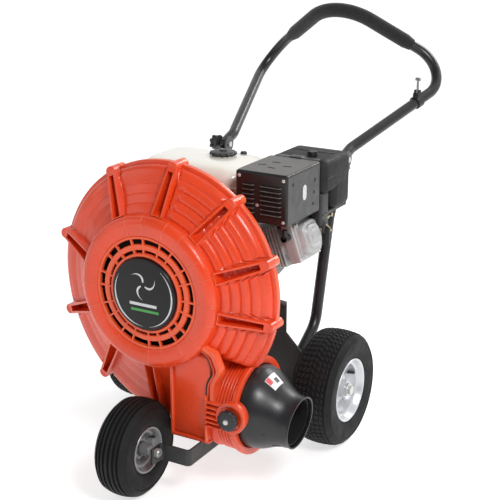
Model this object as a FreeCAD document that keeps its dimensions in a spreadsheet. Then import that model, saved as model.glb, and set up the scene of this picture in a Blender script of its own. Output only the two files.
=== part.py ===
"""A walk-behind wheeled leaf blower, in millimetres.

+Z is up, -Y is forward (the air intake faces it) and +X is the discharge side.
The origin is the middle of the machine's footprint, on the ground.
"""
import FreeCAD, Part
import math
import os
import Sketcher
from FreeCAD import Placement, Rotation, Vector

doc = FreeCAD.newDocument("LeafBlower")
X_AXIS = Vector(1, 0, 0)
Y_AXIS = Vector(0, 1, 0)
Z_AXIS = Vector(0, 0, 1)
FORWARD = Vector(0, -1, 0)

# Driving dimensions -------------------------------------------------------------------

DIMENSIONS = {
    # wheels and axles
    "rear_axle_y": -51, "rear_axle_z": 165, "rear_wheel_x": 312,
    "rear_tyre_radius": 165, "rear_tyre_width": 127, "rear_rim_radius": 88,
    "front_axle_y": -579, "front_axle_z": 130,
    "front_tyre_radius": 130, "front_tyre_width": 100, "front_rim_radius": 59,
    "axle_radius": 12.7, "front_bolt_radius": 8,
    # blower housing
    "shaft_z": 531, "joint_y": -408, "shell_wall": 5, "shell_radius": 317,
    "scroll_step": 0, "scroll_floor": 384, "rim_width": 9, "rim_thick": 8,
    "crown_radius": 203, "crown_y": -496, "crown_front_y": -518, "inlet_radius": 150,
    "housing_back_y": -326, "duct_face_y": -491, "duct_left_x": 62, "duct_end_x": 172,
    "duct_top": 173, "rib_height": 20, "bolt_ring": 321,
    "grille_front_y": -514, "badge_radius": 96, "badge_front_y": -526,
    # discharge
    "outlet_y": -380, "outlet_z": 227, "collar_radius": 131, "collar_end_x": 257,
    "nozzle_base_radius": 110, "nozzle_mouth_radius": 69, "nozzle_mouth_x": 378,
    "nozzle_mouth_z": 205, "nozzle_wall": 3, "nozzle_knob_radius": 28,
    # impeller and engine
    "impeller_radius": 222, "shaft_radius": 12.7, "engine_base_z": 399,
    "engine_front_y": -285, "engine_mid_y": -166, "cylinder_tilt": 19.5,
    # handle
    "tube_radius": 16, "grip_radius": 22.5, "fold_x": 200, "fold_y": 209, "fold_z": 757,
    "corner_x": 345, "corner_y": 746, "corner_z": 945, "peak_y": 549, "peak_z": 1174,
    # frame
    "plate": 5, "rail_x": 150, "right_rail_x": 104, "rail_low_z": 100, "rail_high_z": 145,
}

sheet = doc.addObject("Spreadsheet::Sheet", "Dim")
for row, (alias, value) in enumerate(DIMENSIONS.items(), start=1):
    sheet.set("A%d" % row, alias)
    sheet.set("B%d" % row, str(value))
    sheet.setAlias("B%d" % row, alias)
doc.recompute()


class Size:
    """A number that remembers the spreadsheet expression it comes from."""

    def __init__(self, value, text):
        self.value = value
        self.text = text

    def joined(self, other, sign, value, swap=False):
        first, second = self.text, as_text(other)
        if swap:
            first, second = second, first
        return Size(value, "(%s %s %s)" % (first, sign, second))

    def __add__(self, other):
        return self.joined(other, "+", self.value + float(other))

    def __radd__(self, other):
        return self.joined(other, "+", float(other) + self.value, swap=True)

    def __sub__(self, other):
        return self.joined(other, "-", self.value - float(other))

    def __rsub__(self, other):
        return self.joined(other, "-", float(other) - self.value, swap=True)

    def __mul__(self, other):
        return self.joined(other, "*", self.value * float(other))

    def __rmul__(self, other):
        return self.joined(other, "*", float(other) * self.value, swap=True)

    def __truediv__(self, other):
        return self.joined(other, "/", self.value / float(other))

    def __neg__(self):
        return Size(-self.value, "(-%s)" % self.text)

    def __float__(self):
        return float(self.value)


def as_text(number):
    return number.text if isinstance(number, Size) else repr(float(number))


class Dimensions:
    """Each driving dimension as an attribute."""


D = Dimensions()
for alias, value in DIMENSIONS.items():
    setattr(D, alias, Size(float(value), "Dim." + alias))


# Ways of making a shape ---------------------------------------------------------------

def new(kind, label):
    made = doc.addObject(kind, label.replace("-", "_"))
    made.Label = label
    return made


def bind(thing, prop, number):
    """Set a size, and tie it to the spreadsheet when it comes from there."""
    if "." not in prop and "[" not in prop:
        setattr(thing, prop, float(number))
    if isinstance(number, Size):
        thing.setExpression(prop, number.text)


def place(thing, at, turn=Rotation()):
    thing.Placement = Placement(Vector(*[float(v) for v in at]), turn)
    for letter, number in zip("xyz", at):
        bind(thing, "Placement.Base." + letter, number)
    return thing


def towards(axis):
    return Rotation(Z_AXIS, axis)


def box(label, x, y, z):
    made = new("Part::Box", label)
    for prop, span in (("Length", x), ("Width", y), ("Height", z)):
        bind(made, prop, span[1] - span[0])
    return place(made, (x[0], y[0], z[0]))


def rod(label, radius, at, length, axis=Z_AXIS):
    made = new("Part::Cylinder", label)
    bind(made, "Radius", radius)
    bind(made, "Height", length)
    return place(made, at, towards(axis))


def cone(label, radius, far_radius, at, length, axis=Z_AXIS):
    made = new("Part::Cone", label)
    bind(made, "Radius1", radius)
    bind(made, "Radius2", far_radius)
    bind(made, "Height", length)
    return place(made, at, towards(axis))


def fuse(label, pieces):
    made = new("Part::MultiFuse", label)
    made.Shapes = pieces
    return made


def group(label, pieces):
    """Separate solids in one node."""
    made = new("Part::Compound", label)
    made.Links = pieces
    return made


def cut(label, base, tools):
    made = new("Part::Cut", label)
    made.Base = base
    made.Tool = tools[0] if len(tools) == 1 else fuse(label + "_tools", tools)
    return made


def common(label, first, second):
    made = new("Part::Common", label)
    made.Base = first
    made.Tool = second
    return made


def tube(label, radius, bore, at, length, axis=Z_AXIS):
    solid = rod(label + "_outside", radius, at, length, axis)
    return cut(label, solid, [rod(label + "_bore", bore, at, length, axis)])


def arc_centre(start, end, radius, turn):
    """The centre of the arc from start to end that turns left (+1) or right (-1)."""
    middle = (start + end) * 0.5
    chord = end - start
    rise = math.sqrt(max(radius ** 2 - chord.Length ** 2 / 4, 0))
    return middle + Vector(-chord.y, chord.x, 0).normalize() * rise * turn


def draw(sketch, steps):
    """Draw a closed outline: each step is a corner, or (corner, radius, turn) for an arc."""
    corners = [step[0] if isinstance(step[0], tuple) else step for step in steps]
    points = [Vector(float(a), float(b), 0) for a, b in corners]
    lines = []
    for i, step in enumerate(steps):
        start, end = points[i - 1], points[i]
        if isinstance(step[0], tuple):
            radius, turn = float(step[1]), step[2]
            centre = arc_centre(start, end, radius, turn)
            first, last = (start, end) if turn > 0 else (end, start)
            circle = Part.Circle(centre, Z_AXIS, radius)
            begin = circle.parameter(first)
            finish = circle.parameter(last)
            finish += 2 * math.pi if finish < begin else 0
            lines.append(Part.ArcOfCircle(circle, begin, finish))
        else:
            lines.append(Part.LineSegment(start, end))
    sketch.addGeometry(lines, False)
    ends = [2 if not isinstance(s[0], tuple) or s[2] > 0 else 1 for s in steps]
    for i, (a, b) in enumerate(corners):
        following = (i + 1) % len(steps)
        sketch.addConstraint(Sketcher.Constraint(
            "Coincident", i, ends[i], following, 3 - ends[following]))
        for kind, number, axis in (("DistanceX", a, -2), ("DistanceY", b, -1)):
            if abs(float(number)) < 1e-9:
                sketch.addConstraint(Sketcher.Constraint("PointOnObject", i, ends[i], axis))
                continue
            index = sketch.addConstraint(Sketcher.Constraint(
                kind, -1, 1, i, ends[i], float(number)))
            bind(sketch, "Constraints[%d]" % index, number)
        if isinstance(steps[i][0], tuple):
            index = sketch.addConstraint(Sketcher.Constraint("Radius", i, float(steps[i][1])))
            bind(sketch, "Constraints[%d]" % index, steps[i][1])


def sketched(label, role, steps):
    body = new("PartDesign::Body", label)
    sketch = body.newObject("Sketcher::SketchObject", label + "_sketch")
    planes = [f for f in body.Origin.OriginFeatures if f.Role == role]
    sketch.AttachmentSupport = (planes[0], [""])
    sketch.MapMode = "FlatFace"
    draw(sketch, steps)
    return body, sketch


def turned(label, steps, at, axis=Z_AXIS):
    """A turned piece: steps are (radius, distance along the axis)."""
    body, sketch = sketched(label, "XZ_Plane", steps)
    feature = body.newObject("PartDesign::Revolution", label + "_revolution")
    feature.Profile = sketch
    feature.ReferenceAxis = (sketch, ["V_Axis"])
    feature.Angle = 360
    return place(body, at, towards(axis))


def plated(label, steps, thickness, at=(0, 0, 0), turn=Rotation()):
    """A flat piece: steps are (x, y) in the plate's own plane, padded along its normal."""
    body, sketch = sketched(label, "XY_Plane", steps)
    feature = body.newObject("PartDesign::Pad", label + "_pad")
    feature.Profile = sketch
    bind(feature, "Length", thickness)
    return place(body, at, turn)


UPRIGHT = Rotation(Vector(1, 0, 0), 90)      # a plate's (x, y) becomes (X, Z), its normal -Y
SIDEWAYS = Rotation(Vector(1, 1, 1), 120)    # a plate's (x, y) becomes (Y, Z), its normal +X


def rounded_path(points, radii):
    """Straight runs joined by tangent arcs."""
    edges = []
    start = points[0]
    for corner, following, radius in zip(points[1:-1], points[2:], radii):
        back = (start - corner).normalize()
        ahead = (following - corner).normalize()
        half = back.getAngle(ahead) / 2
        reach = radius / math.tan(half)
        enter = corner + back * reach
        leave = corner + ahead * reach
        inward = (back + ahead).normalize()
        middle = corner + inward * (radius / math.sin(half) - radius)
        edges.append(Part.LineSegment(start, enter).toShape())
        edges.append(Part.Arc(enter, middle, leave).toShape())
        start = leave
    edges.append(Part.LineSegment(start, points[-1]).toShape())
    return Part.Wire(edges)


def swept(label, path, radius):
    """A round bar along a wire."""
    spine = new("Part::Feature", label + "_path")
    spine.Shape = path
    section = new("Part::Circle", label + "_section")
    bind(section, "Radius", radius)
    begin = path.Edges[0].Vertexes[0].Point
    direction = path.Edges[0].tangentAt(path.Edges[0].FirstParameter)
    section.Placement = Placement(begin, towards(direction))
    made = new("Part::Sweep", label)
    made.Sections = [section]
    made.Spine = (spine, ["Edge%d" % (i + 1) for i in range(len(path.Edges))])
    made.Solid = True
    made.Frenet = False
    return made


def mirrored(label, source):
    """The same piece on the other side of the machine."""
    made = new("Part::Mirroring", label)
    made.Source = source
    made.Normal = X_AXIS
    return made


def softened(label, base, radius, chosen=None):
    """Round a piece's edges: all of them, or those that the test chooses."""
    doc.recompute()
    made = new("Part::Fillet", label)
    made.Base = base
    numbers = [i + 1 for i, edge in enumerate(base.Shape.Edges)
               if chosen is None or chosen(edge)]
    made.Edges = [(i, float(radius), float(radius)) for i in numbers]
    return made


def soft_box(label, x, y, z, radius, chosen=None):
    return softened(label, box(label + "_block", x, y, z), radius, chosen)


def square_root(number):
    return Size(math.sqrt(number.value), "sqrt(%s)" % number.text)


# Wheels -------------------------------------------------------------------------------

def tyre(label, at, axis, radius, width, bead, bulge, shoulder):
    half = width / 2
    seat = bead - 4
    edge = half - 12
    side = half - 5
    brow = radius - 15
    tread = half - shoulder
    crown = tread * tread / 10 + 2.5      # the tread stands 5 mm higher in the middle
    steps = [
        (seat, edge), (bead + 2, edge), ((brow, side), bulge, -1), ((radius - 5, tread), 30, -1),
        ((radius - 5, -tread), crown, -1), ((brow, -side), 30, -1), ((bead + 2, -edge), bulge, -1), (seat, -edge),
    ]
    return turned(label, steps, at, axis)


def rim(label, at, axis, bead, width, hub, bearing, bearing_width, hub_half, dish):
    seat = bead - 4
    inside = bead - 8
    half = width / 2 - 12
    lip = half + 4
    bore = bearing - 3.5
    step = hub_half - bearing_width
    steps = [
        (bearing, -hub_half), (bearing, -step), (bore, -step), (bore, step), (bearing, step),
        (bearing, hub_half), (hub, hub_half), (hub, dish + 2), (inside * 0.5, dish + 6),
        (inside, dish - 8), (inside, lip), (bead, lip), (bead, half), (seat, half),
        (seat, -half), (bead, -half), (bead, -lip), (inside, -lip), (inside, dish - 12),
        (inside * 0.5, dish + 2), (hub, dish - 2), (hub, -hub_half),
    ]
    return turned(label, steps, at, axis)


def bearings(label, at, axis, radius, bore, bearing_width, hub_half):
    rings = []
    for side, start in (("outer", hub_half - bearing_width), ("inner", -hub_half)):
        begin = [v + start * n for v, n in zip(at, axis)]
        rings.append(tube("%s_%s" % (label, side), radius, bore, begin, bearing_width, axis))
    return group(label, rings)


RUNNING = 0.06      # radial clearance of a shaft that turns in its hole
HUB_HALF = 44
BEARING_WIDTH = 11
rear_hub = (D.rear_wheel_x, D.rear_axle_y, D.rear_axle_z)
rear_tyre_left = tyre("rear_tyre_left", rear_hub, X_AXIS, D.rear_tyre_radius,
                      D.rear_tyre_width, D.rear_rim_radius, 62, 25)
rear_rim_left = rim("rear_rim_left", rear_hub, X_AXIS, D.rear_rim_radius, D.rear_tyre_width,
                    23, 17.5, BEARING_WIDTH, HUB_HALF, 18)
rear_bearings_left = bearings("rear_bearings_left", rear_hub, X_AXIS, 17.5,
                              D.axle_radius + RUNNING, BEARING_WIDTH, HUB_HALF)
rear_tyre_right = mirrored("rear_tyre_right", rear_tyre_left)
rear_rim_right = mirrored("rear_rim_right", rear_rim_left)
rear_bearings_right = mirrored("rear_bearings_right", rear_bearings_left)

FRONT_HUB_HALF = 46
front_hub = (0, D.front_axle_y, D.front_axle_z)
front_tyre = tyre("front_tyre", front_hub, X_AXIS, D.front_tyre_radius, D.front_tyre_width,
                  D.front_rim_radius, 60, 16)
front_rim = rim("front_rim", front_hub, X_AXIS, D.front_rim_radius, D.front_tyre_width,
                18, 14, 10, FRONT_HUB_HALF, 12)
front_bearings = bearings("front_bearings", front_hub, X_AXIS, 14,
                          D.front_bolt_radius + RUNNING, 10, FRONT_HUB_HALF)

# Axles --------------------------------------------------------------------------------

AXLE_HALF = 372
rear_axle = rod("rear_axle", D.axle_radius, (-AXLE_HALF, D.rear_axle_y, D.rear_axle_z),
                2 * AXLE_HALF, X_AXIS)
COLLAR = 7
hub_end = D.rear_wheel_x + HUB_HALF + 0.5
hub_start = D.rear_wheel_x - HUB_HALF - 0.5 - COLLAR
collars = []
for name, start in (("outer_left", hub_end), ("inner_left", hub_start),
                    ("inner_right", -hub_start - COLLAR), ("outer_right", -hub_end - COLLAR)):
    collars.append(tube("collar_" + name, 19, D.axle_radius,
                        (start, D.rear_axle_y, D.rear_axle_z), COLLAR, X_AXIS))
axle_collars = group("axle_collars", collars)

FRONT_PLATE = 62      # inner face of each fork plate, from the middle
bolt_length = 2 * (FRONT_PLATE + D.plate) + 12
bolt_shank = rod("front_bolt_shank", D.front_bolt_radius,
                 (-(FRONT_PLATE + D.plate), D.front_axle_y, D.front_axle_z), bolt_length, X_AXIS)
bolt_head = rod("front_bolt_head", 12, (-(FRONT_PLATE + D.plate) - 8, D.front_axle_y,
                                        D.front_axle_z), 8, X_AXIS)
bolt_nut = tube("front_bolt_nut", 12, D.front_bolt_radius,
                (FRONT_PLATE + D.plate, D.front_axle_y, D.front_axle_z), 9, X_AXIS)
spacer_length = FRONT_PLATE - FRONT_HUB_HALF - 0.5
spacers = []
for name, start in (("left", FRONT_HUB_HALF + 0.5), ("right", -FRONT_PLATE)):
    spacers.append(tube("front_spacer_" + name, 12, D.front_bolt_radius,
                        (start, D.front_axle_y, D.front_axle_z), spacer_length, X_AXIS))
front_axle_bolt = fuse("front_axle_bolt", [bolt_shank, bolt_head, bolt_nut] + spacers)

# Frame --------------------------------------------------------------------------------

FORK_FRONT = -598
CROSS_RUN = -556      # front face of the run that carries each rail out from the wheel
DECK_BOTTOM = D.engine_base_z - 6
REAR_PLATE_Y = -69
FRONT_PLATE_Y = -298


def rail(label, rail_x):
    """Flat bar on edge: a fork plate beside the wheel, a run outwards, then back to the axle."""
    near, far = FRONT_PLATE, FRONT_PLATE + D.plate
    inner, outer = rail_x - D.plate / 2, rail_x + D.plate / 2
    back = REAR_PLATE_Y - D.plate
    steps = [
        (near, FORK_FRONT), (far, FORK_FRONT), (far, CROSS_RUN - 7),
        ((far + 7, CROSS_RUN), 7, -1), (outer - 12, CROSS_RUN), ((outer, CROSS_RUN + 12), 12, 1),
        (outer, back), (inner, back), (inner, CROSS_RUN + D.plate + 7),
        ((inner - 7, CROSS_RUN + D.plate), 7, -1), (near + 12, CROSS_RUN + D.plate),
        ((near, CROSS_RUN + D.plate - 12), 12, 1),
    ]
    bar = plated(label + "_bar", steps, D.rail_high_z - D.rail_low_z, (0, 0, D.rail_low_z))
    hole = rod(label + "_hole", D.front_bolt_radius,
               (near - 1, D.front_axle_y, D.front_axle_z), D.plate + 2, X_AXIS)
    return cut(label, bar, [hole])


rail_left = rail("rail_left", D.rail_x)
rail_right = mirrored("rail_right", rail("rail_right_blank", D.right_rail_x))


def goal_plate(label, y, bottom, post, post_half, valley, shoulder, outer):
    """A cross plate with a post at each side, sloping shoulders and a valley between."""
    inner = post - post_half
    edge = post + post_half
    half = [(inner, DECK_BOTTOM), (inner, shoulder), (30, valley)]
    side = [(outer, bottom), (outer, shoulder - outer + edge), (edge, shoulder),
            (edge, DECK_BOTTOM)]
    left = [(-a, b) for a, b in half]
    right_side = [(-a, b) for a, b in side]
    steps = side + half + left[::-1] + right_side[::-1]
    return plated(label, steps, D.plate, (0, y, 0), UPRIGHT)


rear_cross_plate = goal_plate("rear_cross_plate", REAR_PLATE_Y, D.rail_low_z, D.rail_x + 4, 18,
                              195, 308, D.rail_x + 86)
front_upright = goal_plate("front_upright", FRONT_PLATE_Y, D.rail_high_z, D.rail_x - 12, 18,
                           195, 300, D.rail_x + 12)
DECK_HALF = 118
DECK_FRONT = -306
deck_half = [(156, DECK_FRONT), (156, -285), (DECK_HALF, -270), (DECK_HALF, -100), (172, -88),
             (172, REAR_PLATE_Y), (DECK_HALF, -58)]
deck_steps = deck_half + [(-a, b) for a, b in deck_half[::-1]]
deck_plate = plated("deck_plate", deck_steps, 6, (0, 0, DECK_BOTTOM))
ENGINE_BOLTS = [(x, D.engine_mid_y + y) for x in (-106, 106) for y in (-52, 53)]
deck_holes = [rod("deck_hole_%d" % i, 5, (x, y, DECK_BOTTOM - 1), 8)
              for i, (x, y) in enumerate(ENGINE_BOLTS)]
engine_deck = cut("engine_deck", deck_plate, deck_holes)

saddles = []
for name, x in (("left", 200), ("right", -230)):
    block = box("saddle_block_" + name, (x, x + 30), (REAR_PLATE_Y, -30), (143, 187))
    bore = rod("saddle_bore_" + name, D.axle_radius, (x - 1, D.rear_axle_y, D.rear_axle_z),
               32, X_AXIS)
    saddles.append(cut("saddle_" + name, block, [bore]))
axle_saddles = group("axle_saddles", saddles)

# Handle -------------------------------------------------------------------------------

fold = Vector(float(D.fold_x), float(D.fold_y), float(D.fold_z))
corner = Vector(float(D.corner_x), float(D.corner_y), float(D.corner_z))
peak = Vector(0, float(D.peak_y), float(D.peak_z))
LEG_START = 60        # the leg leaves the fold bracket straight before it splays
LEG_SLOPE = 20
ELBOW = Vector(200, 130, 600)
KNEE = Vector(200, 57, 298)
FOOT = Vector(200, -90, 200)
CORNER_BEND = 94
PEAK_BEND = 152


def across(point):
    return Vector(-point.x, point.y, point.z)


leg_turn = math.radians(LEG_SLOPE)
leg_start = fold + Vector(0, math.cos(leg_turn), math.sin(leg_turn)) * LEG_START
loop_points = [fold, leg_start, corner, peak, across(corner), across(leg_start), across(fold)]
loop_bends = [60, CORNER_BEND, PEAK_BEND, CORNER_BEND, 60]
loop_path = rounded_path(loop_points, loop_bends)
loop_bar = swept("loop_bar", loop_path, D.tube_radius)
loop_ends = []
for name, side in (("left", 1), ("right", -1)):
    end = new("Part::Sphere", "loop_end_" + name)
    bind(end, "Radius", D.tube_radius)
    loop_ends.append(place(end, (side * D.fold_x, D.fold_y, D.fold_z)))
FOLD_BOLT = 4
fold_bores = [rod("loop_bore_" + name, FOLD_BOLT + RUNNING,
                  (side * D.fold_x - 25, D.fold_y, D.fold_z), 50, X_AXIS)
              for name, side in (("left", 1), ("right", -1))]
upper_handle = cut("upper_handle", fuse("loop", [loop_bar] + loop_ends), fold_bores)

GRIP_FROM = 0.62      # how far along the crossbar, from peak to corner, the grip reaches
grip_end = peak + (corner - peak) * GRIP_FROM
grip_path = rounded_path([grip_end, peak, across(grip_end)], [PEAK_BEND])
handle_grip = cut("handle_grip", swept("grip_outside", grip_path, D.grip_radius),
                  [swept("grip_bore", grip_path, D.tube_radius)])

rise = (ELBOW - fold).normalize()
lower_path = rounded_path([fold + rise * 20, ELBOW, KNEE, FOOT], [80, 80])
lower_bar = swept("lower_bar", lower_path, D.tube_radius)
behind_plate = box("behind_plate", (150, 250), (-300, REAR_PLATE_Y), (100, 400))
bracket_half = D.tube_radius + 0.5
brackets = []
for name, x in (("inner", D.fold_x - bracket_half - 3), ("outer", D.fold_x + bracket_half)):
    ear = rod("bracket_ear_" + name, 24, (x, D.fold_y, D.fold_z), 3, X_AXIS)
    strap = place(new("Part::Box", "bracket_strap_" + name), (x, D.fold_y, D.fold_z),
                  Rotation(X_AXIS, math.degrees(math.atan2(rise.z, rise.y))))
    strap.Length = 3
    strap.Width = 85
    strap.Height = 22
    brackets += [ear, strap]
SLEEVE_FROM = 44
sleeve = rod("bracket_sleeve", bracket_half + 3, fold + rise * SLEEVE_FROM, 40, rise)
bracket_shape = fuse("bracket_shape", brackets + [sleeve])
bracket_bores = [rod("bracket_bore", FOLD_BOLT, (170, D.fold_y, D.fold_z), 60, X_AXIS)]
lower_handle_left = cut("lower_handle_left",
                        fuse("lower_shape", [lower_bar, bracket_shape]),
                        [behind_plate] + bracket_bores)
lower_handle_right = mirrored("lower_handle_right", lower_handle_left)


def knob(label, at, axis, radius, thickness, bore, depth, lobes):
    """A lobed hand knob with a blind hole for its stud."""
    lobe = radius * 0.26
    core = rod(label + "_core", radius - lobe, at, thickness, axis)
    spin = towards(axis)
    bumps = []
    for i in range(lobes):
        angle = 2 * math.pi * i / lobes
        ring = float(radius - lobe)
        offset = spin.multVec(Vector(math.cos(angle) * ring, math.sin(angle) * ring, 0))
        begin = [v + n for v, n in zip(at, offset)]
        bumps.append(rod("%s_lobe_%d" % (label, i), lobe, begin, thickness, axis))
    hole = rod(label + "_hole", bore, at, depth, axis)
    return cut(label, fuse(label + "_shape", [core] + bumps), [hole])


KNOB_GAP = 2
knob_x = D.fold_x - bracket_half - 3 - KNOB_GAP
handle_knob_left = knob("handle_knob_left", (knob_x, D.fold_y, D.fold_z), X_AXIS * -1,
                        22, 18, FOLD_BOLT + RUNNING, 12, 6)
outer_knob_x = D.fold_x + bracket_half + 3 + KNOB_GAP
handle_knob_right = knob("handle_knob_right", (-outer_knob_x, D.fold_y, D.fold_z), X_AXIS * -1,
                         22, 18, FOLD_BOLT + RUNNING, 12, 6)

LEVER_ALONG = 0.60    # how far along the leg the speed control is clamped
leg = corner - leg_start
leg_direction = Vector(leg).normalize()
lever_at = leg_start + leg * LEVER_ALONG
bracket_ring = tube("lever_ring", 20, D.tube_radius, lever_at - leg_direction * 12, 24,
                    leg_direction)
lever_base = box("lever_base", (lever_at.x - 9, lever_at.x + 9),
                 (lever_at.y - 14, lever_at.y + 14), (lever_at.z + 14, lever_at.z + 27))
lever_slot = box("lever_slot", (lever_at.x - 3.4, lever_at.x + 3.4),
                 (lever_at.y - 15, lever_at.y + 15), (lever_at.z + 20.5, lever_at.z + 40))
LEVER_PIVOT_Z = lever_at.z + 29
pivot_ears = [rod("lever_ear_%d" % side, 8, (lever_at.x + start, lever_at.y, LEVER_PIVOT_Z),
                  5.6, X_AXIS) for side, start in ((0, -9), (1, 3.4))]
tube_core = rod("lever_tube_core", D.tube_radius, lever_at - leg_direction * 40, 80,
                leg_direction)
pivot_pin = rod("lever_pin", 2.5, (lever_at.x - 9, lever_at.y, LEVER_PIVOT_Z), 18, X_AXIS)
lever_housing = cut("lever_housing", fuse("lever_body", [bracket_ring, lever_base] + pivot_ears),
                    [tube_core, lever_slot])
lever_bracket = fuse("lever_bracket", [lever_housing, pivot_pin])
lever_hub = rod("lever_hub", 7, (lever_at.x - 3, lever_at.y, LEVER_PIVOT_Z), 6, X_AXIS)
lever_arm = box("lever_arm", (lever_at.x - 2, lever_at.x + 2), (lever_at.y - 4, lever_at.y + 4),
                (LEVER_PIVOT_Z, LEVER_PIVOT_Z + 38))
lever_tip = softened("lever_tip", rod("lever_tip_bar", 5,
                                      (lever_at.x - 8, lever_at.y, LEVER_PIVOT_Z + 40), 16, X_AXIS),
                     1.5)
lever_bore = rod("lever_bore", 2.5 + RUNNING, (lever_at.x - 10, lever_at.y, LEVER_PIVOT_Z),
                 20, X_AXIS)
speed_lever = cut("speed_lever", fuse("lever_shape", [lever_hub, lever_arm, lever_tip]),
                  [lever_bore])

# Blower housing -----------------------------------------------------------------------

shaft_line = (0, D.joint_y, D.shaft_z)
shell_left = D.shell_radius + D.scroll_step
scroll_shift = D.scroll_floor - D.scroll_step - shell_left


def scroll_steps(inset):
    """The casing's outline around the shaft: three growing arcs, then the duct at the floor."""
    top = D.shell_radius - inset
    tongue = D.duct_top - inset
    start = square_root(top * top - tongue * tongue)
    floor = -D.scroll_floor + inset
    return [
        (start, -tongue),
        ((0, top), top, 1),
        ((-shell_left + inset, -D.scroll_step), shell_left - inset, 1),
        ((scroll_shift, floor), D.scroll_floor - D.scroll_step - inset, 1),
        (D.duct_end_x, floor),
        (D.duct_end_x, -tongue),
    ]


def scroll_slab(label, inset, front, back):
    return plated(label, scroll_steps(inset), back - front, (0, back, D.shaft_z), UPRIGHT)


CROWN_STEPS = 4
TREAD = 0.78          # the part of each step that slopes; the rest is the riser
crown_depth = D.joint_y - D.crown_y
crown_front = D.joint_y - D.crown_front_y
crown_profile = [(0, 0), (D.shell_radius, 0), (D.shell_radius, 8)]
run = (D.shell_radius - D.crown_radius) / CROWN_STEPS
fall = (crown_depth - 8) / CROWN_STEPS
for i in range(CROWN_STEPS):
    radius = D.shell_radius - run * i
    height = 8 + fall * i
    crown_profile.append((radius - run * TREAD, height + fall * 0.55))
    crown_profile.append((radius - run, height + fall))
ring_mid = (D.crown_radius + D.inlet_radius) / 2
crown_profile += [
    ((ring_mid + 6, crown_front), 22, 1),
    (ring_mid - 10, crown_front), ((D.inlet_radius - 4, crown_front - 10), 16, 1),
    (0, crown_front - 10),
]
crown_outside = turned("crown_outside", crown_profile, shaft_line, FORWARD)
wall = D.shell_wall
crown_hollow = turned("crown_hollow", [
    (0, -20), (D.shell_radius - wall, -20), (D.shell_radius - wall, 2),
    (D.crown_radius - wall, crown_depth - wall - 4), (ring_mid + 4, crown_front - wall - 2),
    (0, crown_front - wall - 2),
], shaft_line, FORWARD)
SHOULDER_FRONT = -440
shoulder = softened("scroll_shoulder", scroll_slab("scroll_outside", 0, SHOULDER_FRONT, D.joint_y),
                    22, lambda e: abs(e.BoundBox.YMax - SHOULDER_FRONT) < 0.5
                    and e.BoundBox.YLength < 0.5 and e.BoundBox.XMin < 20)
scroll_hollow = scroll_slab("scroll_hollow", wall, SHOULDER_FRONT + wall, D.joint_y + 5)
duct_low = D.shaft_z - D.scroll_floor
duct_high = D.shaft_z - D.duct_top
duct_outside = soft_box("duct_outside", (D.duct_left_x, D.duct_end_x),
                        (D.duct_face_y, D.joint_y), (duct_low, duct_high + 30), 12,
                        lambda e: e.BoundBox.YMax < -480 and e.BoundBox.XMax < 170)
duct_hollow = box("duct_hollow", (D.duct_left_x + wall, D.duct_end_x + 5),
                  (D.duct_face_y + wall, D.joint_y + 5), (duct_low + wall, duct_high - wall))


def radial(angle):
    """A turn whose Y runs outwards from the shaft and whose Z runs forwards."""
    c, s = math.cos(math.radians(angle)), math.sin(math.radians(angle))
    turn = FreeCAD.Matrix()
    turn.A11, turn.A12, turn.A13 = s, c, 0
    turn.A21, turn.A22, turn.A23 = 0, 0, -1
    turn.A31, turn.A32, turn.A33 = -c, s, 0
    return Placement(turn).Rotation


def rib_wedge(label, angle, run, widths, lows, highs):
    """A radial wedge: its run from the shaft, and its half widths, floors and tops at each end."""
    made = new("Part::Wedge", label)
    sizes = {"Xmin": -widths[0], "Xmax": widths[0], "X2min": -widths[1], "X2max": widths[1],
             "Ymin": run[0], "Ymax": run[1], "Zmin": lows[0], "Z2min": lows[1],
             "Zmax": highs[0], "Z2max": highs[1]}
    for prop, number in sizes.items():
        bind(made, prop, number)
    return place(made, shaft_line, radial(angle))


def casing_radius(angle):
    """How far the casing's outline is from the shaft at an angle above +X."""
    a = math.radians(angle % 360)
    step, shift = float(D.scroll_step), float(scroll_shift)
    if angle % 360 <= 90 or angle % 360 > 300:
        return float(D.shell_radius)
    centre = Vector(0, -step) if angle % 360 <= 180 else Vector(shift, -step)
    radius = float(shell_left) if angle % 360 <= 180 else float(D.scroll_floor - D.scroll_step)
    along = centre.x * math.cos(a) + centre.y * math.sin(a)
    return along + math.sqrt(along ** 2 - centre.Length ** 2 + radius ** 2)


RIB_ANGLES = (-10, 19, 50, 83, 118, 163, 202, 236, 268)      # above +X, around the shaft
BOLT_OUT = 4          # bolt circle beyond the casing's outline
BOSS = 14
RIB_END = 34          # how far a rib stands forward of the joint at its bolt
ribs, slots, front_bosses, rear_bosses, bolt_places = [], [], [], [], []
for i, angle in enumerate(RIB_ANGLES):
    reach = casing_radius(angle) + BOLT_OUT
    c, s = math.cos(math.radians(angle)), math.sin(math.radians(angle))
    bolt_places.append((c * reach, s * reach))
    ribs.append(rib_wedge("rib_%d" % i, angle, (D.crown_radius - 6, reach), (17, BOSS), (2, 2),
                          (crown_depth + 4, RIB_END)))
    slots.append(rib_wedge("rib_slot_%d" % i, angle, (D.crown_radius + 2, reach - 8), (12.5, 7),
                           (crown_depth - 8, 14), (crown_depth + 22, RIB_END + 26)))
    for bosses, label, start, length in ((front_bosses, "front_boss_%d", D.joint_y, 34),
                                         (rear_bosses, "rear_boss_%d", D.joint_y + 20, 20)):
        bosses.append(rod(label % i, BOSS, (c * reach, start, D.shaft_z + s * reach), length,
                          FORWARD))
SEAM_BOLT = 4
HEAD_SINK = 26        # the bolt heads sit this far forward of the joint
bolt_holes = [rod("seam_hole_%d" % i, SEAM_BOLT, (x, D.joint_y + 30, D.shaft_z + z), 70, FORWARD)
              for i, (x, z) in enumerate(bolt_places)]
head_wells = [rod("head_well_%d" % i, 9, (x, D.joint_y - HEAD_SINK, D.shaft_z + z), 20, FORWARD)
              for i, (x, z) in enumerate(bolt_places)]
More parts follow.
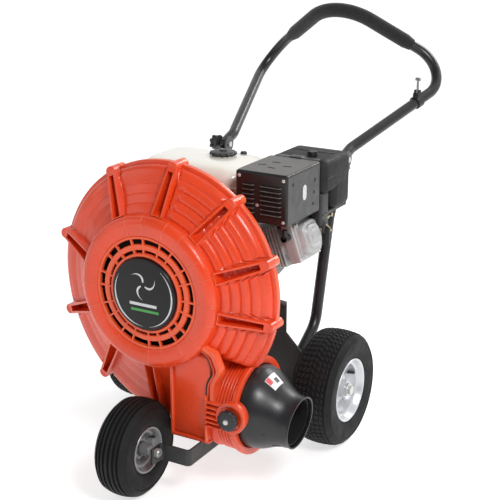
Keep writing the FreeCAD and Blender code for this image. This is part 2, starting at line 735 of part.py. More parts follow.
nut_wells = [rod("nut_well_%d" % i, 8, (x, D.joint_y + 32, D.shaft_z + z), 12, FORWARD)
             for i, (x, z) in enumerate(bolt_places)]
front_rim_plate = scroll_slab("front_rim_plate", -D.rim_width, D.joint_y - D.rim_thick, D.joint_y)
inlet = rod("inlet", D.inlet_radius - 8, shaft_line, 130, FORWARD)
inlet_step = rod("inlet_step", D.inlet_radius, (0, -506, D.shaft_z), 40, FORWARD)
tongue_clear = box("tongue_clear", (D.duct_end_x, 400), (-600, -300), (0, duct_high))
rail_notch = box("rail_notch", (D.rail_x - D.plate / 2, D.rail_x + D.plate / 2),
                 (D.joint_y - 30, D.joint_y + 30), (D.rail_low_z, D.rail_high_z))
housing_front = cut(
    "housing_front",
    cut("front_shell", fuse("front_outside", [crown_outside, shoulder, duct_outside,
                                              front_rim_plate] + ribs + front_bosses),
        [fuse("front_hollow", [crown_hollow, scroll_hollow, duct_hollow])]),
    [inlet, inlet_step, tongue_clear, rail_notch] + slots + bolt_holes + head_wells)

REAR_SLOPE = 29       # degrees the rear half's side wall leans in


def sloped_slab(label, inset, front, back):
    """The casing's outline, narrowing towards the engine."""
    body = place(scroll_slab(label, inset, front, back), (0, front, D.shaft_z), UPRIGHT)
    pad = [feature for feature in body.Group if feature.TypeId == "PartDesign::Pad"][0]
    pad.Reversed = True
    pad.TaperAngle = -REAR_SLOPE
    return body


rear_slab = sloped_slab("rear_outside", 0, D.joint_y, D.housing_back_y)
rear_depth = D.housing_back_y - D.joint_y
lean_in = math.tan(math.radians(REAR_SLOPE))
rear_round = cone("rear_round", D.shell_radius, D.shell_radius - rear_depth * lean_in,
                  shaft_line, rear_depth, Y_AXIS)
round_room = cone("round_room", D.shell_radius - wall,
                  D.shell_radius - wall - (rear_depth - wall) * lean_in, shaft_line,
                  rear_depth - wall, Y_AXIS)
tongue_floor = box("tongue_floor", (D.duct_end_x - wall, 400), (D.joint_y - 5, -300),
                   (0, duct_high + wall))
rear_round_hollow = cut("rear_round_hollow", round_room, [tongue_floor])
rear_duct = soft_box("rear_duct", (D.duct_left_x, D.duct_end_x), (D.joint_y, D.housing_back_y),
                     (duct_low, duct_high), 12, lambda e: e.BoundBox.YMin > -330
                     and e.BoundBox.XMax < 170)
rear_hollow = sloped_slab("rear_hollow", wall, D.joint_y, D.housing_back_y - wall)
rear_duct_hollow = box("rear_duct_hollow", (D.duct_left_x + wall, D.duct_end_x + 5),
                       (D.joint_y - 5, D.housing_back_y - wall),
                       (duct_low + wall, duct_high - wall))
rear_rim_plate = scroll_slab("rear_rim_plate", -D.rim_width, D.joint_y, D.joint_y + D.rim_thick)
ADAPTER_BORE = 78
ADAPTER_RADIUS = 112
back_opening = rod("back_opening", ADAPTER_BORE, (0, -300, D.shaft_z), 60, FORWARD)
ADAPTER_BOLTS = [(92 * math.cos(math.radians(45 + 90 * i)),
                  92 * math.sin(math.radians(45 + 90 * i))) for i in range(4)]
back_holes = [rod("back_hole_%d" % i, 5, (x, -300, D.shaft_z + z), 60, FORWARD)
              for i, (x, z) in enumerate(ADAPTER_BOLTS)]
housing_rear = cut(
    "housing_rear",
    fuse("rear_outside_shape", [rear_slab, rear_round, rear_duct, rear_rim_plate] + rear_bosses),
    [rear_hollow, rear_round_hollow, rear_duct_hollow, back_opening, tongue_clear, rail_notch] + back_holes + bolt_holes + nut_wells)

seam_bolts = []
for i, (x, z) in enumerate(bolt_places):
    head = rod("seam_head_%d" % i, 6.5, (x, D.joint_y - HEAD_SINK, D.shaft_z + z), 6, FORWARD)
    shank = rod("seam_shank_%d" % i, SEAM_BOLT, (x, D.joint_y + 28, D.shaft_z + z),
                28 + HEAD_SINK, FORWARD)
    nut = rod("seam_nut_%d" % i, 7, (x, D.joint_y + 27, D.shaft_z + z), 7, FORWARD)
    seam_bolts.append(fuse("seam_bolt_%d" % i, [head, shank, nut]))
housing_bolts = group("housing_bolts", seam_bolts)

# Intake grille and badge
GRILLE_BACK = -506
grille_thick = GRILLE_BACK - D.grille_front_y
grille_disc = rod("grille_disc", D.inlet_radius, (0, GRILLE_BACK, D.shaft_z), grille_thick, FORWARD)
grille_hub = rod("grille_hub", 104, (0, GRILLE_BACK, D.shaft_z),
                 GRILLE_BACK - D.badge_front_y - 5, FORWARD)
SPOKE_PAIR = 7.5      # half the angle between the two spokes of a pair
spokes = []
for i in range(10):
    for side in (-1, 1):
        bar = rib_wedge("spoke_%d_%d" % (i, side), 64 + 36 * i + side * SPOKE_PAIR, (100, 152),
                        (2.2, 2.2), (90, 90), (115, 115))
        spokes.append(bar)
spoke_set = fuse("spokes", spokes)
slot_rings = [tube("slot_ring_%d" % i, outer, inner, (0, GRILLE_BACK + 5, D.shaft_z), 30, FORWARD)
              for i, (inner, outer) in enumerate(((106.5, 113), (129, 143)))]
intake_grille = cut("intake_grille", fuse("grille_shape", [grille_disc, grille_hub]),
                    [cut("grille_slots", fuse("slot_rings", slot_rings), [spoke_set])])
badge_disc = softened("badge_disc", rod("badge_blank", D.badge_radius,
                                        (0, D.badge_front_y + 5, D.shaft_z), 5, FORWARD), 1.5)

# Discharge collar and nozzle
outlet_line = (D.duct_end_x, D.outlet_y, D.outlet_z)
collar_length = D.collar_end_x - D.duct_end_x
RIDGES = 5
collar_profile = [(D.collar_radius - 9, 0)]
for i in range(RIDGES):
    at = 10 + 11 * i
    for offset, lift in ((0, 0), (2, 3.5), (6, 3.5), (8, 0)):
        collar_profile.append((D.collar_radius - 9 + lift, at + offset))
COLLAR_MOUTH = D.nozzle_base_radius + 1.5
GROOVE = 15           # the nozzle's flange turns in this groove
collar_profile += [
    (D.collar_radius - 9, collar_length - 16), (D.collar_radius, collar_length - 13),
    (D.collar_radius, collar_length), (COLLAR_MOUTH, collar_length),
    (COLLAR_MOUTH, collar_length - 4), (COLLAR_MOUTH + 6, collar_length - 4),
    (COLLAR_MOUTH + 6, collar_length - 4 - GROOVE), (COLLAR_MOUTH - 2, collar_length - 4 - GROOVE),
    (COLLAR_MOUTH - 2, 6), (40, 6), (40, 0),
]
collar_barrel = turned("collar_barrel", collar_profile, outlet_line, X_AXIS)
collar_plate = soft_box("collar_plate", (D.duct_end_x, D.duct_end_x + 6),
                        (D.duct_face_y, D.housing_back_y), (duct_low, duct_high), 12,
                        lambda e: e.BoundBox.XLength > 5 and e.BoundBox.YMax < -480)
passage = common("passage", box("passage_box", (D.duct_end_x - 5, D.duct_end_x + 20),
                                (D.duct_face_y + wall, D.housing_back_y - wall),
                                (duct_low + wall, duct_high - wall)),
                 rod("passage_round", COLLAR_MOUTH - 3,
                     (D.duct_end_x - 10, D.outlet_y, D.outlet_z), 40, X_AXIS))
KNOB_Z = 241
KNOB_X = 248
BOSS_FRONT = -516
knob_boss = rod("knob_boss", 22, (KNOB_X, -486, KNOB_Z), 30, FORWARD)
knob_ring = cut("knob_boss_outside", knob_boss,
                [rod("collar_core", COLLAR_MOUTH + 8, (100, D.outlet_y, D.outlet_z), 200, X_AXIS)])
STUD = 4
knob_hole = rod("knob_hole", STUD, (KNOB_X, -470, KNOB_Z), 60, FORWARD)
fins = [box("collar_fin_%d" % i, (191.5, 214), (-512, -480), (200 + 12 * i, 203.5 + 12 * i))
        for i in range(5)]
fin_set = cut("collar_fins", fuse("fin_blanks", fins),
              [rod("fin_core", D.collar_radius - 12, (100, D.outlet_y, D.outlet_z), 200, X_AXIS)])
discharge_collar = cut("discharge_collar",
                       fuse("collar_shape", [collar_barrel, collar_plate, knob_ring, fin_set]),
                       [passage, knob_hole])

mouth_pitch = 6.4
spigot = 26
nozzle_start = D.duct_end_x + collar_length - 4 - GROOVE + 1


def nozzle_skin(label, inset, mouth_inset, start, extra):
    """A round base that narrows to a smaller, lower, slightly drooping mouth."""
    base = new("Part::Circle", label + "_base")
    bind(base, "Radius", D.nozzle_base_radius - inset)
    place(base, (start, D.outlet_y, D.outlet_z), towards(X_AXIS))
    waist = new("Part::Circle", label + "_waist")
    bind(waist, "Radius", D.nozzle_base_radius - inset)
    place(waist, (D.collar_end_x + 8, D.outlet_y, D.outlet_z), towards(X_AXIS))
    droop = Rotation(Y_AXIS, 90 + mouth_pitch)
    ahead = droop.multVec(Z_AXIS)
    throats = []
    for i, back in enumerate((spigot, 0 - extra)):
        throat = new("Part::Circle", "%s_throat_%d" % (label, i))
        bind(throat, "Radius", D.nozzle_mouth_radius - mouth_inset)
        place(throat, (D.nozzle_mouth_x - ahead.x * back, D.outlet_y,
                       D.nozzle_mouth_z - ahead.z * back), droop)
        throats.append(throat)
    lofts = []
    for i, (first, last) in enumerate(((base, waist), (waist, throats[0]), tuple(throats))):
        loft = new("Part::Loft", "%s_loft_%d" % (label, i))
        loft.Sections = [first, last]
        loft.Solid = True
        loft.Ruled = True
        lofts.append(loft)
    return fuse(label, lofts)


nozzle_flange = rod("nozzle_flange", COLLAR_MOUTH + 4, (nozzle_start, D.outlet_y, D.outlet_z),
                    GROOVE - 2, X_AXIS)
nozzle = cut("nozzle", fuse("nozzle_shape", [nozzle_skin("nozzle_outside", 0, 0, nozzle_start, 0),
                                             nozzle_flange]),
             [nozzle_skin("nozzle_inside", D.nozzle_wall, D.nozzle_wall, nozzle_start - 1, 2)])
knob_at = (KNOB_X, BOSS_FRONT - 1, KNOB_Z)
nozzle_knob_head = knob("nozzle_knob_head", knob_at, FORWARD, D.nozzle_knob_radius, 20,
                        STUD, 20, 12)
nozzle_stud = rod("nozzle_stud", STUD - RUNNING, (KNOB_X, BOSS_FRONT + 20, KNOB_Z), 42, FORWARD)
nozzle_cap = rod("nozzle_cap", 8, (KNOB_X, BOSS_FRONT - 21, KNOB_Z), 3, FORWARD)
nozzle_knob = fuse("nozzle_knob", [nozzle_knob_head, nozzle_stud, nozzle_cap])

# Impeller -----------------------------------------------------------------------------

IMPELLER_BACK = -345
SHAFT_FRONT = -424
back_disc = rod("impeller_back", D.impeller_radius, (0, IMPELLER_BACK, D.shaft_z), 5, FORWARD)
impeller_hub = rod("impeller_hub_blank", 42, (0, IMPELLER_BACK, D.shaft_z),
                   IMPELLER_BACK - SHAFT_FRONT, FORWARD)
shroud = turned("impeller_shroud", [
    (124, 47), (D.impeller_radius, 32), (D.impeller_radius, 36), (124, 51)], shaft_line, FORWARD)
blade_floor = D.joint_y - IMPELLER_BACK + 5
blades = [rib_wedge("blade_%d" % i, 22.5 * i, (95, D.impeller_radius - 1), (2, 2),
                    (blade_floor, blade_floor), (50, 34)) for i in range(16)]
shaft_hole = rod("impeller_shaft_hole", D.shaft_radius, (0, -330, D.shaft_z), 110, FORWARD)
impeller = cut("impeller", fuse("impeller_shape", [back_disc, impeller_hub, shroud] + blades),
               [shaft_hole])
bolt_washer = rod("impeller_washer", 30, (0, SHAFT_FRONT, D.shaft_z), 4, FORWARD)
bolt_cap = rod("impeller_bolt_head", 9, (0, SHAFT_FRONT - 4, D.shaft_z), 7, FORWARD)
impeller_bolt = fuse("impeller_bolt", [bolt_washer, bolt_cap])

# Engine -------------------------------------------------------------------------------

CASE_HALF = 92
CASE_TOP = 628
CASE_BACK = -40
COVER_STEP = 23       # depth of the round front cover
case_front = D.engine_front_y + COVER_STEP
case_block = soft_box("case_block", (-CASE_HALF, CASE_HALF), (case_front, CASE_BACK),
                      (D.engine_base_z + 6, CASE_TOP), 12)
case_cover = rod("case_cover", 92, (0, case_front, D.shaft_z), COVER_STEP, FORWARD)
case_foot = box("case_foot", (-118, 118), (-240, -92), (D.engine_base_z, D.engine_base_z + 12))
tank_posts = [box("tank_post_%d" % i, (x, x + 22), (y, y + 16), (CASE_TOP - 2, 724))
              for i, (x, y) in enumerate(((-80, -235), (58, -235), (-80, -85), (58, -85)))]
crank_room = box("crank_room", (-78, 78), (-215, -115), (452, 610))
front_journal = rod("front_journal", D.shaft_radius + RUNNING, (0, 0, D.shaft_z), 300, FORWARD)
foot_holes = [rod("foot_hole_%d" % i, 5, (x, y, D.engine_base_z - 1), 20)
              for i, (x, y) in enumerate(ENGINE_BOLTS)]
tilt_turn = Rotation(Y_AXIS, -float(D.cylinder_tilt))
cylinder_foot = Vector(0, float(D.engine_mid_y), float(D.shaft_z))


def leaning(point):
    """A place given along the cylinder, across it and square to both."""
    return cylinder_foot + tilt_turn.multVec(Vector(*point))


def leaning_box(label, along, across_y, up):
    made = new("Part::Box", label)
    made.Length = along[1] - along[0]
    made.Width = across_y[1] - across_y[0]
    made.Height = up[1] - up[0]
    return place(made, leaning((along[0], across_y[0], up[0])), tilt_turn)


def leaning_rod(label, radius, along):
    start = leaning((along[0], 0, 0))
    return rod(label, radius, start, along[1] - along[0], leaning((1, 0, 0)) - cylinder_foot)


cylinder_bore = leaning_rod("cylinder_bore", 44, (50, 261))
crankcase = cut("crankcase", fuse("case_shape", [case_block, case_cover, case_foot] + tank_posts),
                [crank_room, front_journal, cylinder_bore] + foot_holes)

FIN_PITCH = 9.5
FIN_COUNT = 15
barrel = leaning_rod("barrel", 52, (70, 269))
cylinder_fins = []
for i in range(FIN_COUNT):
    start = 112 + FIN_PITCH * i
    cylinder_fins.append(leaning_box("cylinder_fin_%d" % i, (start, start + 3.2), (-60, 60),
                                     (-56, 56)))
head_block = leaning_box("head_block", (263, 292), (-58, 58), (-52, 52))
PIPE_X, PIPE_Y = 225, -205
PIPE_FOOT = 659
exhaust_port = rod("exhaust_port", 14 + RUNNING, (PIPE_X, PIPE_Y, PIPE_FOOT), 40)
intake_stub = box("intake_stub", (212, 242), (-116, -98), (606, 630))
cylinder = cut("cylinder", fuse("cylinder_shape", [barrel, head_block, intake_stub]
                                + cylinder_fins), [case_block, cylinder_bore, exhaust_port])
cover_blank = leaning_box("rocker_cover_blank", (292, 326), (-44, 44), (-41, 47))
rocker_lip = leaning_box("rocker_lip", (292, 298), (-51, 51), (-47, 52))
rocker_cover = fuse("rocker_cover", [softened("rocker_dome", cover_blank, 15), rocker_lip])
plug_at = leaning((277, -58, 22))
spark_plug_cap = fuse("spark_plug_cap", [
    rod("plug_cap_body", 9, plug_at, 26, FORWARD),
    rod("plug_cap_elbow", 7, (plug_at.x, plug_at.y - 20, plug_at.z), 24, Z_AXIS)])

# Crankshaft and flywheel, which turn together with the impeller
THROW = 32
shaft_main = rod("shaft_main", D.shaft_radius, (0, 16, D.shaft_z), 16 - SHAFT_FRONT, FORWARD)
webs = [rod("web_%d" % i, 50, (0, y, D.shaft_z), 13, FORWARD) for i, y in ((0, -140), (1, -179))]
pin_gap = rod("pin_gap", D.shaft_radius + 1, (0, -153, D.shaft_z), 26, FORWARD)
crank_pin = rod("crank_pin", 15, (THROW, -153, D.shaft_z), 26, FORWARD)
crankshaft = fuse("crankshaft", [cut("shaft_halves", shaft_main, [pin_gap]), crank_pin] + webs)
flywheel_rim = rod("flywheel_rim", 106, (0, -8, D.shaft_z), 20, FORWARD)
VANES = 18
flywheel_vanes = [rib_wedge("vane_%d" % i, 360 / VANES * i, (70, 104), (1.6, 1.6),
                            (D.joint_y - 8, D.joint_y - 8), (D.joint_y + 9, D.joint_y + 9))
                  for i in range(VANES)]
flywheel = cut("flywheel", fuse("flywheel_shape", [flywheel_rim] + flywheel_vanes),
               [rod("flywheel_bore", D.shaft_radius, (0, 20, D.shaft_z), 80, FORWARD)])

# Exhaust
GUARD = {"x": (150, 300), "y": (-321, -136), "z": (700, 833)}
SHEET = 2
guard_skin = soft_box("guard_skin", GUARD["x"], GUARD["y"], GUARD["z"], 6)
guard_room = box("guard_room", (GUARD["x"][0] + SHEET, GUARD["x"][1] - SHEET),
                 (GUARD["y"][0] + SHEET, GUARD["y"][1] + 10),
                 (GUARD["z"][0] - 10, GUARD["z"][1] - SHEET))
louvres = []
for column, (left, right) in enumerate(((172, 204), (224, 282))):
    for i in range(7):
        z = 722 + 12 * i
        louvres.append(box("louvre_%d_%d" % (column, i), (left, right), (-330, -310), (z, z + 5)))
for i, (x, y) in enumerate(((185, -240), (235, -235), (215, -200), (262, -205))):
    louvres.append(box("top_slot_%d" % i, (x, x + 20), (y, y + 6), (825, 840)))
louvres.append(soft_box("side_slot", (290, 310), (-232, -222), (752, 790), 4.5,
                        lambda e: e.BoundBox.XLength > 15))
muffler_guard = cut("muffler_guard", guard_skin, [guard_room] + louvres)
muffler = fuse("muffler", [
    soft_box("muffler_can", (160, 290), (-311, -148), (712, 823), 16),
    rod("exhaust_pipe", 14, (PIPE_X, PIPE_Y, PIPE_FOOT), 60)])

# Air cleaner
air_cover_skin = soft_box("air_cover_skin", (142, 312), (-130, 30), (690, 832), 22)
air_room = box("air_room", (147, 307), (-125, 25), (680, 827))
air_notch = box("air_notch", (130, 320), (-140, -72), (680, 738))
stud_hole = rod("air_cover_hole", 3.5, (250, -85, 800), 60)
air_cleaner_cover = cut("air_cleaner_cover", air_cover_skin, [air_room, air_notch, stud_hole])
air_tray = soft_box("air_tray", (150, 304), (-122, 22), (680, 690), 3)
air_box = soft_box("air_box", (165, 284), (-118, -74), (684, 737), 5)
air_element = rod("air_element", 46, (225, -25, 686), 118)
air_elbow = rod("air_elbow", 18, (234, -58, 655), 30)
air_stud = rod("air_stud", 3, (250, -85, 730), 109)
air_cleaner_base = cut("air_cleaner_base", fuse("air_base_shape", [
    air_tray, air_box, air_element, air_elbow, air_stud]), [
        rod("air_throat", 14, (234, -58, 650), 60)])
air_cleaner_knob = knob("air_cleaner_knob", (250, -85, 833), Z_AXIS, 14, 12, 3 + RUNNING, 8, 5)

# Carburettor and its levers
carburettor = fuse("carburettor", [
    soft_box("carburettor_body", (208, 262), (-92, -26), (612, 655), 5),
    rod("carburettor_bowl", 20, (236, -52, 590), 24),
    rod("carburettor_inlet", 13, (228, -92, 620), 6, FORWARD),
    rod("choke_pin", 2.5, (262, -38, 642), 12, X_AXIS),
    rod("fuel_pin", 2.5, (262, -74, 624), 12, X_AXIS)])


def crank_lever(label, at, axis_x, direction, length, thickness=4):
    """A flat lever on a pin that runs along X."""
    hub = rod(label + "_hub", 7, (at[0], at[1], at[2]), thickness, X_AXIS)
    blade = new("Part::Box", label + "_blade")
    blade.Length = thickness
    blade.Width = length
    blade.Height = 8
    turn = Rotation(X_AXIS, direction)
    offset = turn.multVec(Vector(0, 0, -4))
    place(blade, (at[0], at[1] + offset.y, at[2] + offset.z), turn)
    tip_at = turn.multVec(Vector(0, length, 0))
    tip = rod(label + "_tip", 5.5, (at[0], at[1] + tip_at.y, at[2] + tip_at.z), axis_x, X_AXIS)
    hole = rod(label + "_pin_hole", 2.5 + RUNNING, (at[0] - 1, at[1], at[2]), 20, X_AXIS)
    return cut(label, fuse(label + "_shape", [hub, blade, tip]), [hole])


choke_lever = crank_lever("choke_lever", (266, -38, 642), 9, 20, 34)
fuel_lever = crank_lever("fuel_lever", (266, -74, 624), 9, -60, 28)

# Tank
TANK = {"x": (-185, 138), "y": (-288, -72), "z": (724, 820)}
TANK_FILLER = (16, -156)
tank_skin = soft_box("tank_skin", TANK["x"], TANK["y"], TANK["z"], 26)
filler_neck = rod("filler_neck", 27, (TANK_FILLER[0], TANK_FILLER[1], 814), 10)
tank_room = soft_box("tank_room", (-180, 133), (-283, -77), (729, 815), 21)
filler_bore = rod("filler_bore", 23, (TANK_FILLER[0], TANK_FILLER[1], 804), 40)
fuel_tank = cut("fuel_tank", fuse("tank_shape", [tank_skin, filler_neck]), [tank_room, filler_bore])
fuel_cap = knob("fuel_cap", (TANK_FILLER[0], TANK_FILLER[1], 821), Z_AXIS, 38, 13, 27.5, 3.2, 14)

# Cooling fan housing and recoil starter
fan_disc = rod("fan_disc", 131, (0, 28, D.shaft_z), 28 - CASE_BACK, FORWARD)
fan_hood = soft_box("fan_hood", (-112, 112), (CASE_BACK, 28), (D.shaft_z, 706), 18,
                    lambda e: e.BoundBox.ZMin > 650)
control_post = box("control_post", (112, 150), (-20, 20), (640, 652))
throttle_pin = rod("throttle_pin", 2.5, (136, 0, 650), 12)
switch_pin = rod("switch_pin", 3, (62, 38, 672), 12, FORWARD)
fan_room = rod("fan_room", 114, (0, 22, D.shaft_z), 56, FORWARD)
fan_inlet = rod("fan_inlet", 84, (0, 40, D.shaft_z), 30, FORWARD)
fan_bore = rod("fan_bore", 30, (0, 0, D.shaft_z), 60, FORWARD)
fan_housing = cut("fan_housing", fuse("fan_shape", [fan_disc, fan_hood, control_post,
                                                    throttle_pin, switch_pin]),
                  [fan_room, fan_inlet, fan_bore])
starter_dish = turned("starter_dish", [
    (97, 0), (97, 6), (90, 16), (60, 21), (0, 21), (0, 18), (59, 18), (86, 13), (92, 5), (92, 0)],
    (0, 28, D.shaft_z), Y_AXIS)
starter_vents = [rib_wedge("starter_vent_%d" % i, 30 * i + 15, (48, 80), (2.5, 5),
                           (D.joint_y - 60, D.joint_y - 60), (D.joint_y, D.joint_y))
                 for i in range(12)]
rope_guide = rod("rope_guide", 9, (-46, 38, 604), 30)
recoil_starter = cut("recoil_starter", fuse("starter_shape", [starter_dish, rope_guide]),
                     starter_vents)
GRIP_Z = 636
recoil_grip = fuse("recoil_grip", [
    soft_box("grip_bar", (-78, -14), (31, 45), (GRIP_Z + 8, GRIP_Z + 24), 6),
    cone("grip_neck", 6, 9, (-46, 38, GRIP_Z), 12)])

throttle_hub = rod("throttle_hub", 8, (136, 0, 654), 4)
throttle_arm = box("throttle_arm", (136, 176), (-4, 4), (654, 658))
throttle_tip = rod("throttle_tip", 7, (176, 0, 654), 10)
throttle_lever = cut("throttle_lever", fuse("throttle_shape", [throttle_hub, throttle_arm,
                                                               throttle_tip]),
                     [rod("throttle_hole", 2.5 + RUNNING, (136, 0, 640), 40)])
switch_dial = rod("switch_dial", 12, (62, 36, 672), 7, FORWARD)
switch_grip = box("switch_grip", (59, 65), (36, 44), (661, 683))
engine_switch = cut("engine_switch", fuse("switch_shape", [switch_dial, switch_grip]),
                    [rod("switch_hole", 3 + RUNNING, (62, 39, 672), 20, FORWARD)])
DIP_Y, DIP_Z = -70, 436
dipstick = fuse("dipstick", [rod("dipstick_cap", 12, (CASE_HALF + 0.5, DIP_Y, DIP_Z), 12, X_AXIS),
                             box("dipstick_tab", (CASE_HALF + 12, CASE_HALF + 20),
                                 (DIP_Y - 2.5, DIP_Y + 2.5), (DIP_Z - 9, DIP_Z + 9))])

# Adapter between the housing and the engine, and the fasteners
adapter_ring = tube("adapter_ring", ADAPTER_RADIUS, ADAPTER_BORE,
                    (0, D.engine_front_y, D.shaft_z), D.engine_front_y - D.housing_back_y, FORWARD)
engine_adapter = cut("engine_adapter", adapter_ring,
                     [rod("adapter_hole_%d" % i, 5, (x, -300, D.shaft_z + z), 60, FORWARD)
                      for i, (x, z) in enumerate(ADAPTER_BOLTS)])
fasteners = []
for i, (x, z) in enumerate(ADAPTER_BOLTS):
    at = D.housing_back_y - wall
    fasteners.append(fuse("adapter_bolt_%d" % i, [
        rod("adapter_shank_%d" % i, 5, (x, -303, D.shaft_z + z), -303 - at, FORWARD),
        rod("adapter_head_%d" % i, 8, (x, at, D.shaft_z + z), 6, FORWARD)]))
for i, (x, y) in enumerate(ENGINE_BOLTS):
    top = D.engine_base_z + 12
    fasteners.append(fuse("engine_bolt_%d" % i, [
        rod("engine_shank_%d" % i, 5, (x, y, DECK_BOTTOM - 8), top - DECK_BOTTOM + 8),
        rod("engine_head_%d" % i, 8, (x, y, top), 7),
        rod("engine_nut_%d" % i, 8.5, (x, y, DECK_BOTTOM - 8), 8)]))
for side, start in (("left", D.fold_x + bracket_half + 3),
                    ("right", -D.fold_x + bracket_half + 3)):
    fasteners.append(fuse("fold_bolt_" + side, [
        rod("fold_shank_" + side, FOLD_BOLT, (start, D.fold_y, D.fold_z),
            2 * bracket_half + 6 + KNOB_GAP + 11, X_AXIS * -1),
        rod("fold_head_" + side, 8, (start, D.fold_y, D.fold_z), 5, X_AXIS)]))
frame_fasteners = group("frame_fasteners", fasteners)

# Check and write ----------------------------------------------------------------------

NODES = [
    housing_front, housing_rear, intake_grille, badge_disc, housing_bolts, discharge_collar,
    nozzle, nozzle_knob, impeller, impeller_bolt, engine_adapter, rear_cross_plate,
    front_upright, engine_deck, rail_left, rail_right, rear_axle, axle_saddles, axle_collars,
    frame_fasteners, front_axle_bolt, rear_tyre_left, rear_rim_left, rear_tyre_right,
    rear_rim_right, front_tyre, front_rim, rear_bearings_left, rear_bearings_right,
    front_bearings, crankcase, crankshaft, flywheel, cylinder, rocker_cover, spark_plug_cap,
    muffler, muffler_guard, air_cleaner_base, air_cleaner_cover, air_cleaner_knob, carburettor,
    fuel_tank, fuel_cap, fan_housing, recoil_starter, recoil_grip, choke_lever, throttle_lever,
    fuel_lever, dipstick, engine_switch, upper_handle, handle_grip, lower_handle_left,
    lower_handle_right, handle_knob_left, handle_knob_right, lever_bracket, speed_lever,
]


def write_parts():
    doc.recompute()
    failed = [o.Label for o in doc.Objects if "Invalid" in o.State or "Error" in o.State]
    failed += [o.Label for o in NODES if o.Shape.isNull() or not o.Shape.isValid()]
    if failed:
        raise SystemExit("failed objects: %s" % ", ".join(failed))
    os.makedirs("parts", exist_ok=True)
    for node in NODES:
        node.Shape.exportStep("parts/%s.step" % node.Label)
        print("%-22s %2d solids %10.0f mm3" % (node.Label, len(node.Shape.Solids),
                                               node.Shape.Volume))


write_parts()
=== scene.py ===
"""The looks of a walk-behind wheeled leaf blower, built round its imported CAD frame."""
import math

import bmesh
import bpy
import numpy as np
from mathutils import Matrix, Vector


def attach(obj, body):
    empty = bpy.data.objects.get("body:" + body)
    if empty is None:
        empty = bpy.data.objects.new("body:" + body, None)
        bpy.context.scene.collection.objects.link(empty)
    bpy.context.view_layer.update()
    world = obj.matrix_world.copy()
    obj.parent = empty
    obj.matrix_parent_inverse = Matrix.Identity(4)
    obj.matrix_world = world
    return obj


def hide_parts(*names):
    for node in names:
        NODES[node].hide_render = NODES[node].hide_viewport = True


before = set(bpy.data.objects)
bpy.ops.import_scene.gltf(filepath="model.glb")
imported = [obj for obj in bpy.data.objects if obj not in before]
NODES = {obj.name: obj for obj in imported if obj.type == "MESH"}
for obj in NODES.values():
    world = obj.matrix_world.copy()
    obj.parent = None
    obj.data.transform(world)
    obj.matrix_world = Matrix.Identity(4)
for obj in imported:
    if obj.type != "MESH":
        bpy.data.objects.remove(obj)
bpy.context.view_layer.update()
MM = 0.001
SHAFT = np.array([0.0, -408.0, 531.0])      # on the shaft line, where the casing halves meet
FORWARD = (0, -1, 0)


# Building meshes, in millimetres -------------------------------------------------------

class Form:
    """Vertices and faces gathered from simple shapes."""

    def __init__(self):
        self.points = []
        self.faces = []

    def add(self, points, faces):
        start = len(self.points)
        self.points.extend([tuple(float(c) for c in p) for p in points])
        self.faces.extend([tuple(start + i for i in f) for f in faces])
        return self

    def join(self, other):
        return self.add(other.points, other.faces)

    def moved(self, matrix):
        turned = Form()
        turned.points = [tuple(matrix @ Vector(p)) for p in self.points]
        turned.faces = list(self.faces)
        return turned

    def mirrored(self):
        other = Form()
        other.points = [(-x, y, z) for x, y, z in self.points]
        other.faces = [tuple(reversed(f)) for f in self.faces]
        return other


def basis(axis):
    """Two directions square to an axis, and the axis: (across, up, along)."""
    along = Vector(axis).normalized()
    helper = Vector((0, 0, 1)) if abs(along.z) < 0.9 else Vector((0, 1, 0))
    up = (helper - along * helper.dot(along)).normalized()
    return up.cross(along), up, along


def turns(count):
    """Equal angles once round."""
    return [2 * math.pi * j / count for j in range(count)]


def grid(rows, wrap_rows=False, wrap_columns=True, caps=(False, False)):
    """Faces over rows of points, each row a ring or a line of the same length."""
    form = Form()
    count, width = len(rows), len(rows[0])
    points = [p for row in rows for p in row]
    faces = []
    for i in range(count if wrap_rows else count - 1):
        a, b = i * width, ((i + 1) % count) * width
        for j in range(width if wrap_columns else width - 1):
            k = (j + 1) % width
            faces.append((a + j, a + k, b + k, b + j))
    if caps[0]:
        faces.append(tuple(reversed(range(width))))
    if caps[1]:
        faces.append(tuple(range((count - 1) * width, count * width)))
    return form.add(points, faces)


def lathe(profile, centre, axis, segments=96, wobble=None, closed=True):
    """A turned shape from (radius, distance along the axis) points. wobble(angle, radius) scales."""
    across, up, along = basis(axis)
    centre = Vector(centre)
    rows = []
    for radius, distance in profile:
        ring = []
        for a in turns(segments):
            r = radius * (wobble(a, radius) if wobble else 1)
            ring.append(centre + along * distance + across * (r * math.cos(a))
                        + up * (r * math.sin(a)))
        rows.append(ring)
    return grid(rows, wrap_rows=closed)


def frames(path):
    """A pair of directions square to the path at each of its points, without twist."""
    tangents = []
    for i, p in enumerate(path):
        before, after = path[max(i - 1, 0)], path[min(i + 1, len(path) - 1)]
        tangents.append((after - before).normalized())
    up = basis(tangents[0])[1]
    pairs = []
    for t in tangents:
        up = (up - t * up.dot(t)).normalized()
        pairs.append((up.cross(t), up))
    return pairs


def pipe(path, radius, sides=24):
    """A round bar along a path. radius is a number or one number a point."""
    path = [Vector(p) for p in path]
    radii = radius if hasattr(radius, "__len__") else [radius] * len(path)
    rows = []
    for p, (across, up), r in zip(path, frames(path), radii):
        rows.append([p + across * (r * math.cos(a)) + up * (r * math.sin(a)) for a in turns(sides)])
    return grid(rows, caps=(True, True))


def ribbon(path, section, side):
    """A bar of any section along a path: section is (across, up) points, side the up direction."""
    path = [Vector(p) for p in path]
    rows = []
    for i, p in enumerate(path):
        t = (path[min(i + 1, len(path) - 1)] - path[max(i - 1, 0)]).normalized()
        up = Vector(side)
        up = (up - t * up.dot(t)).normalized()
        across = up.cross(t)
        rows.append([p + across * a + up * b for a, b in section])
    return grid(rows, caps=(True, True))


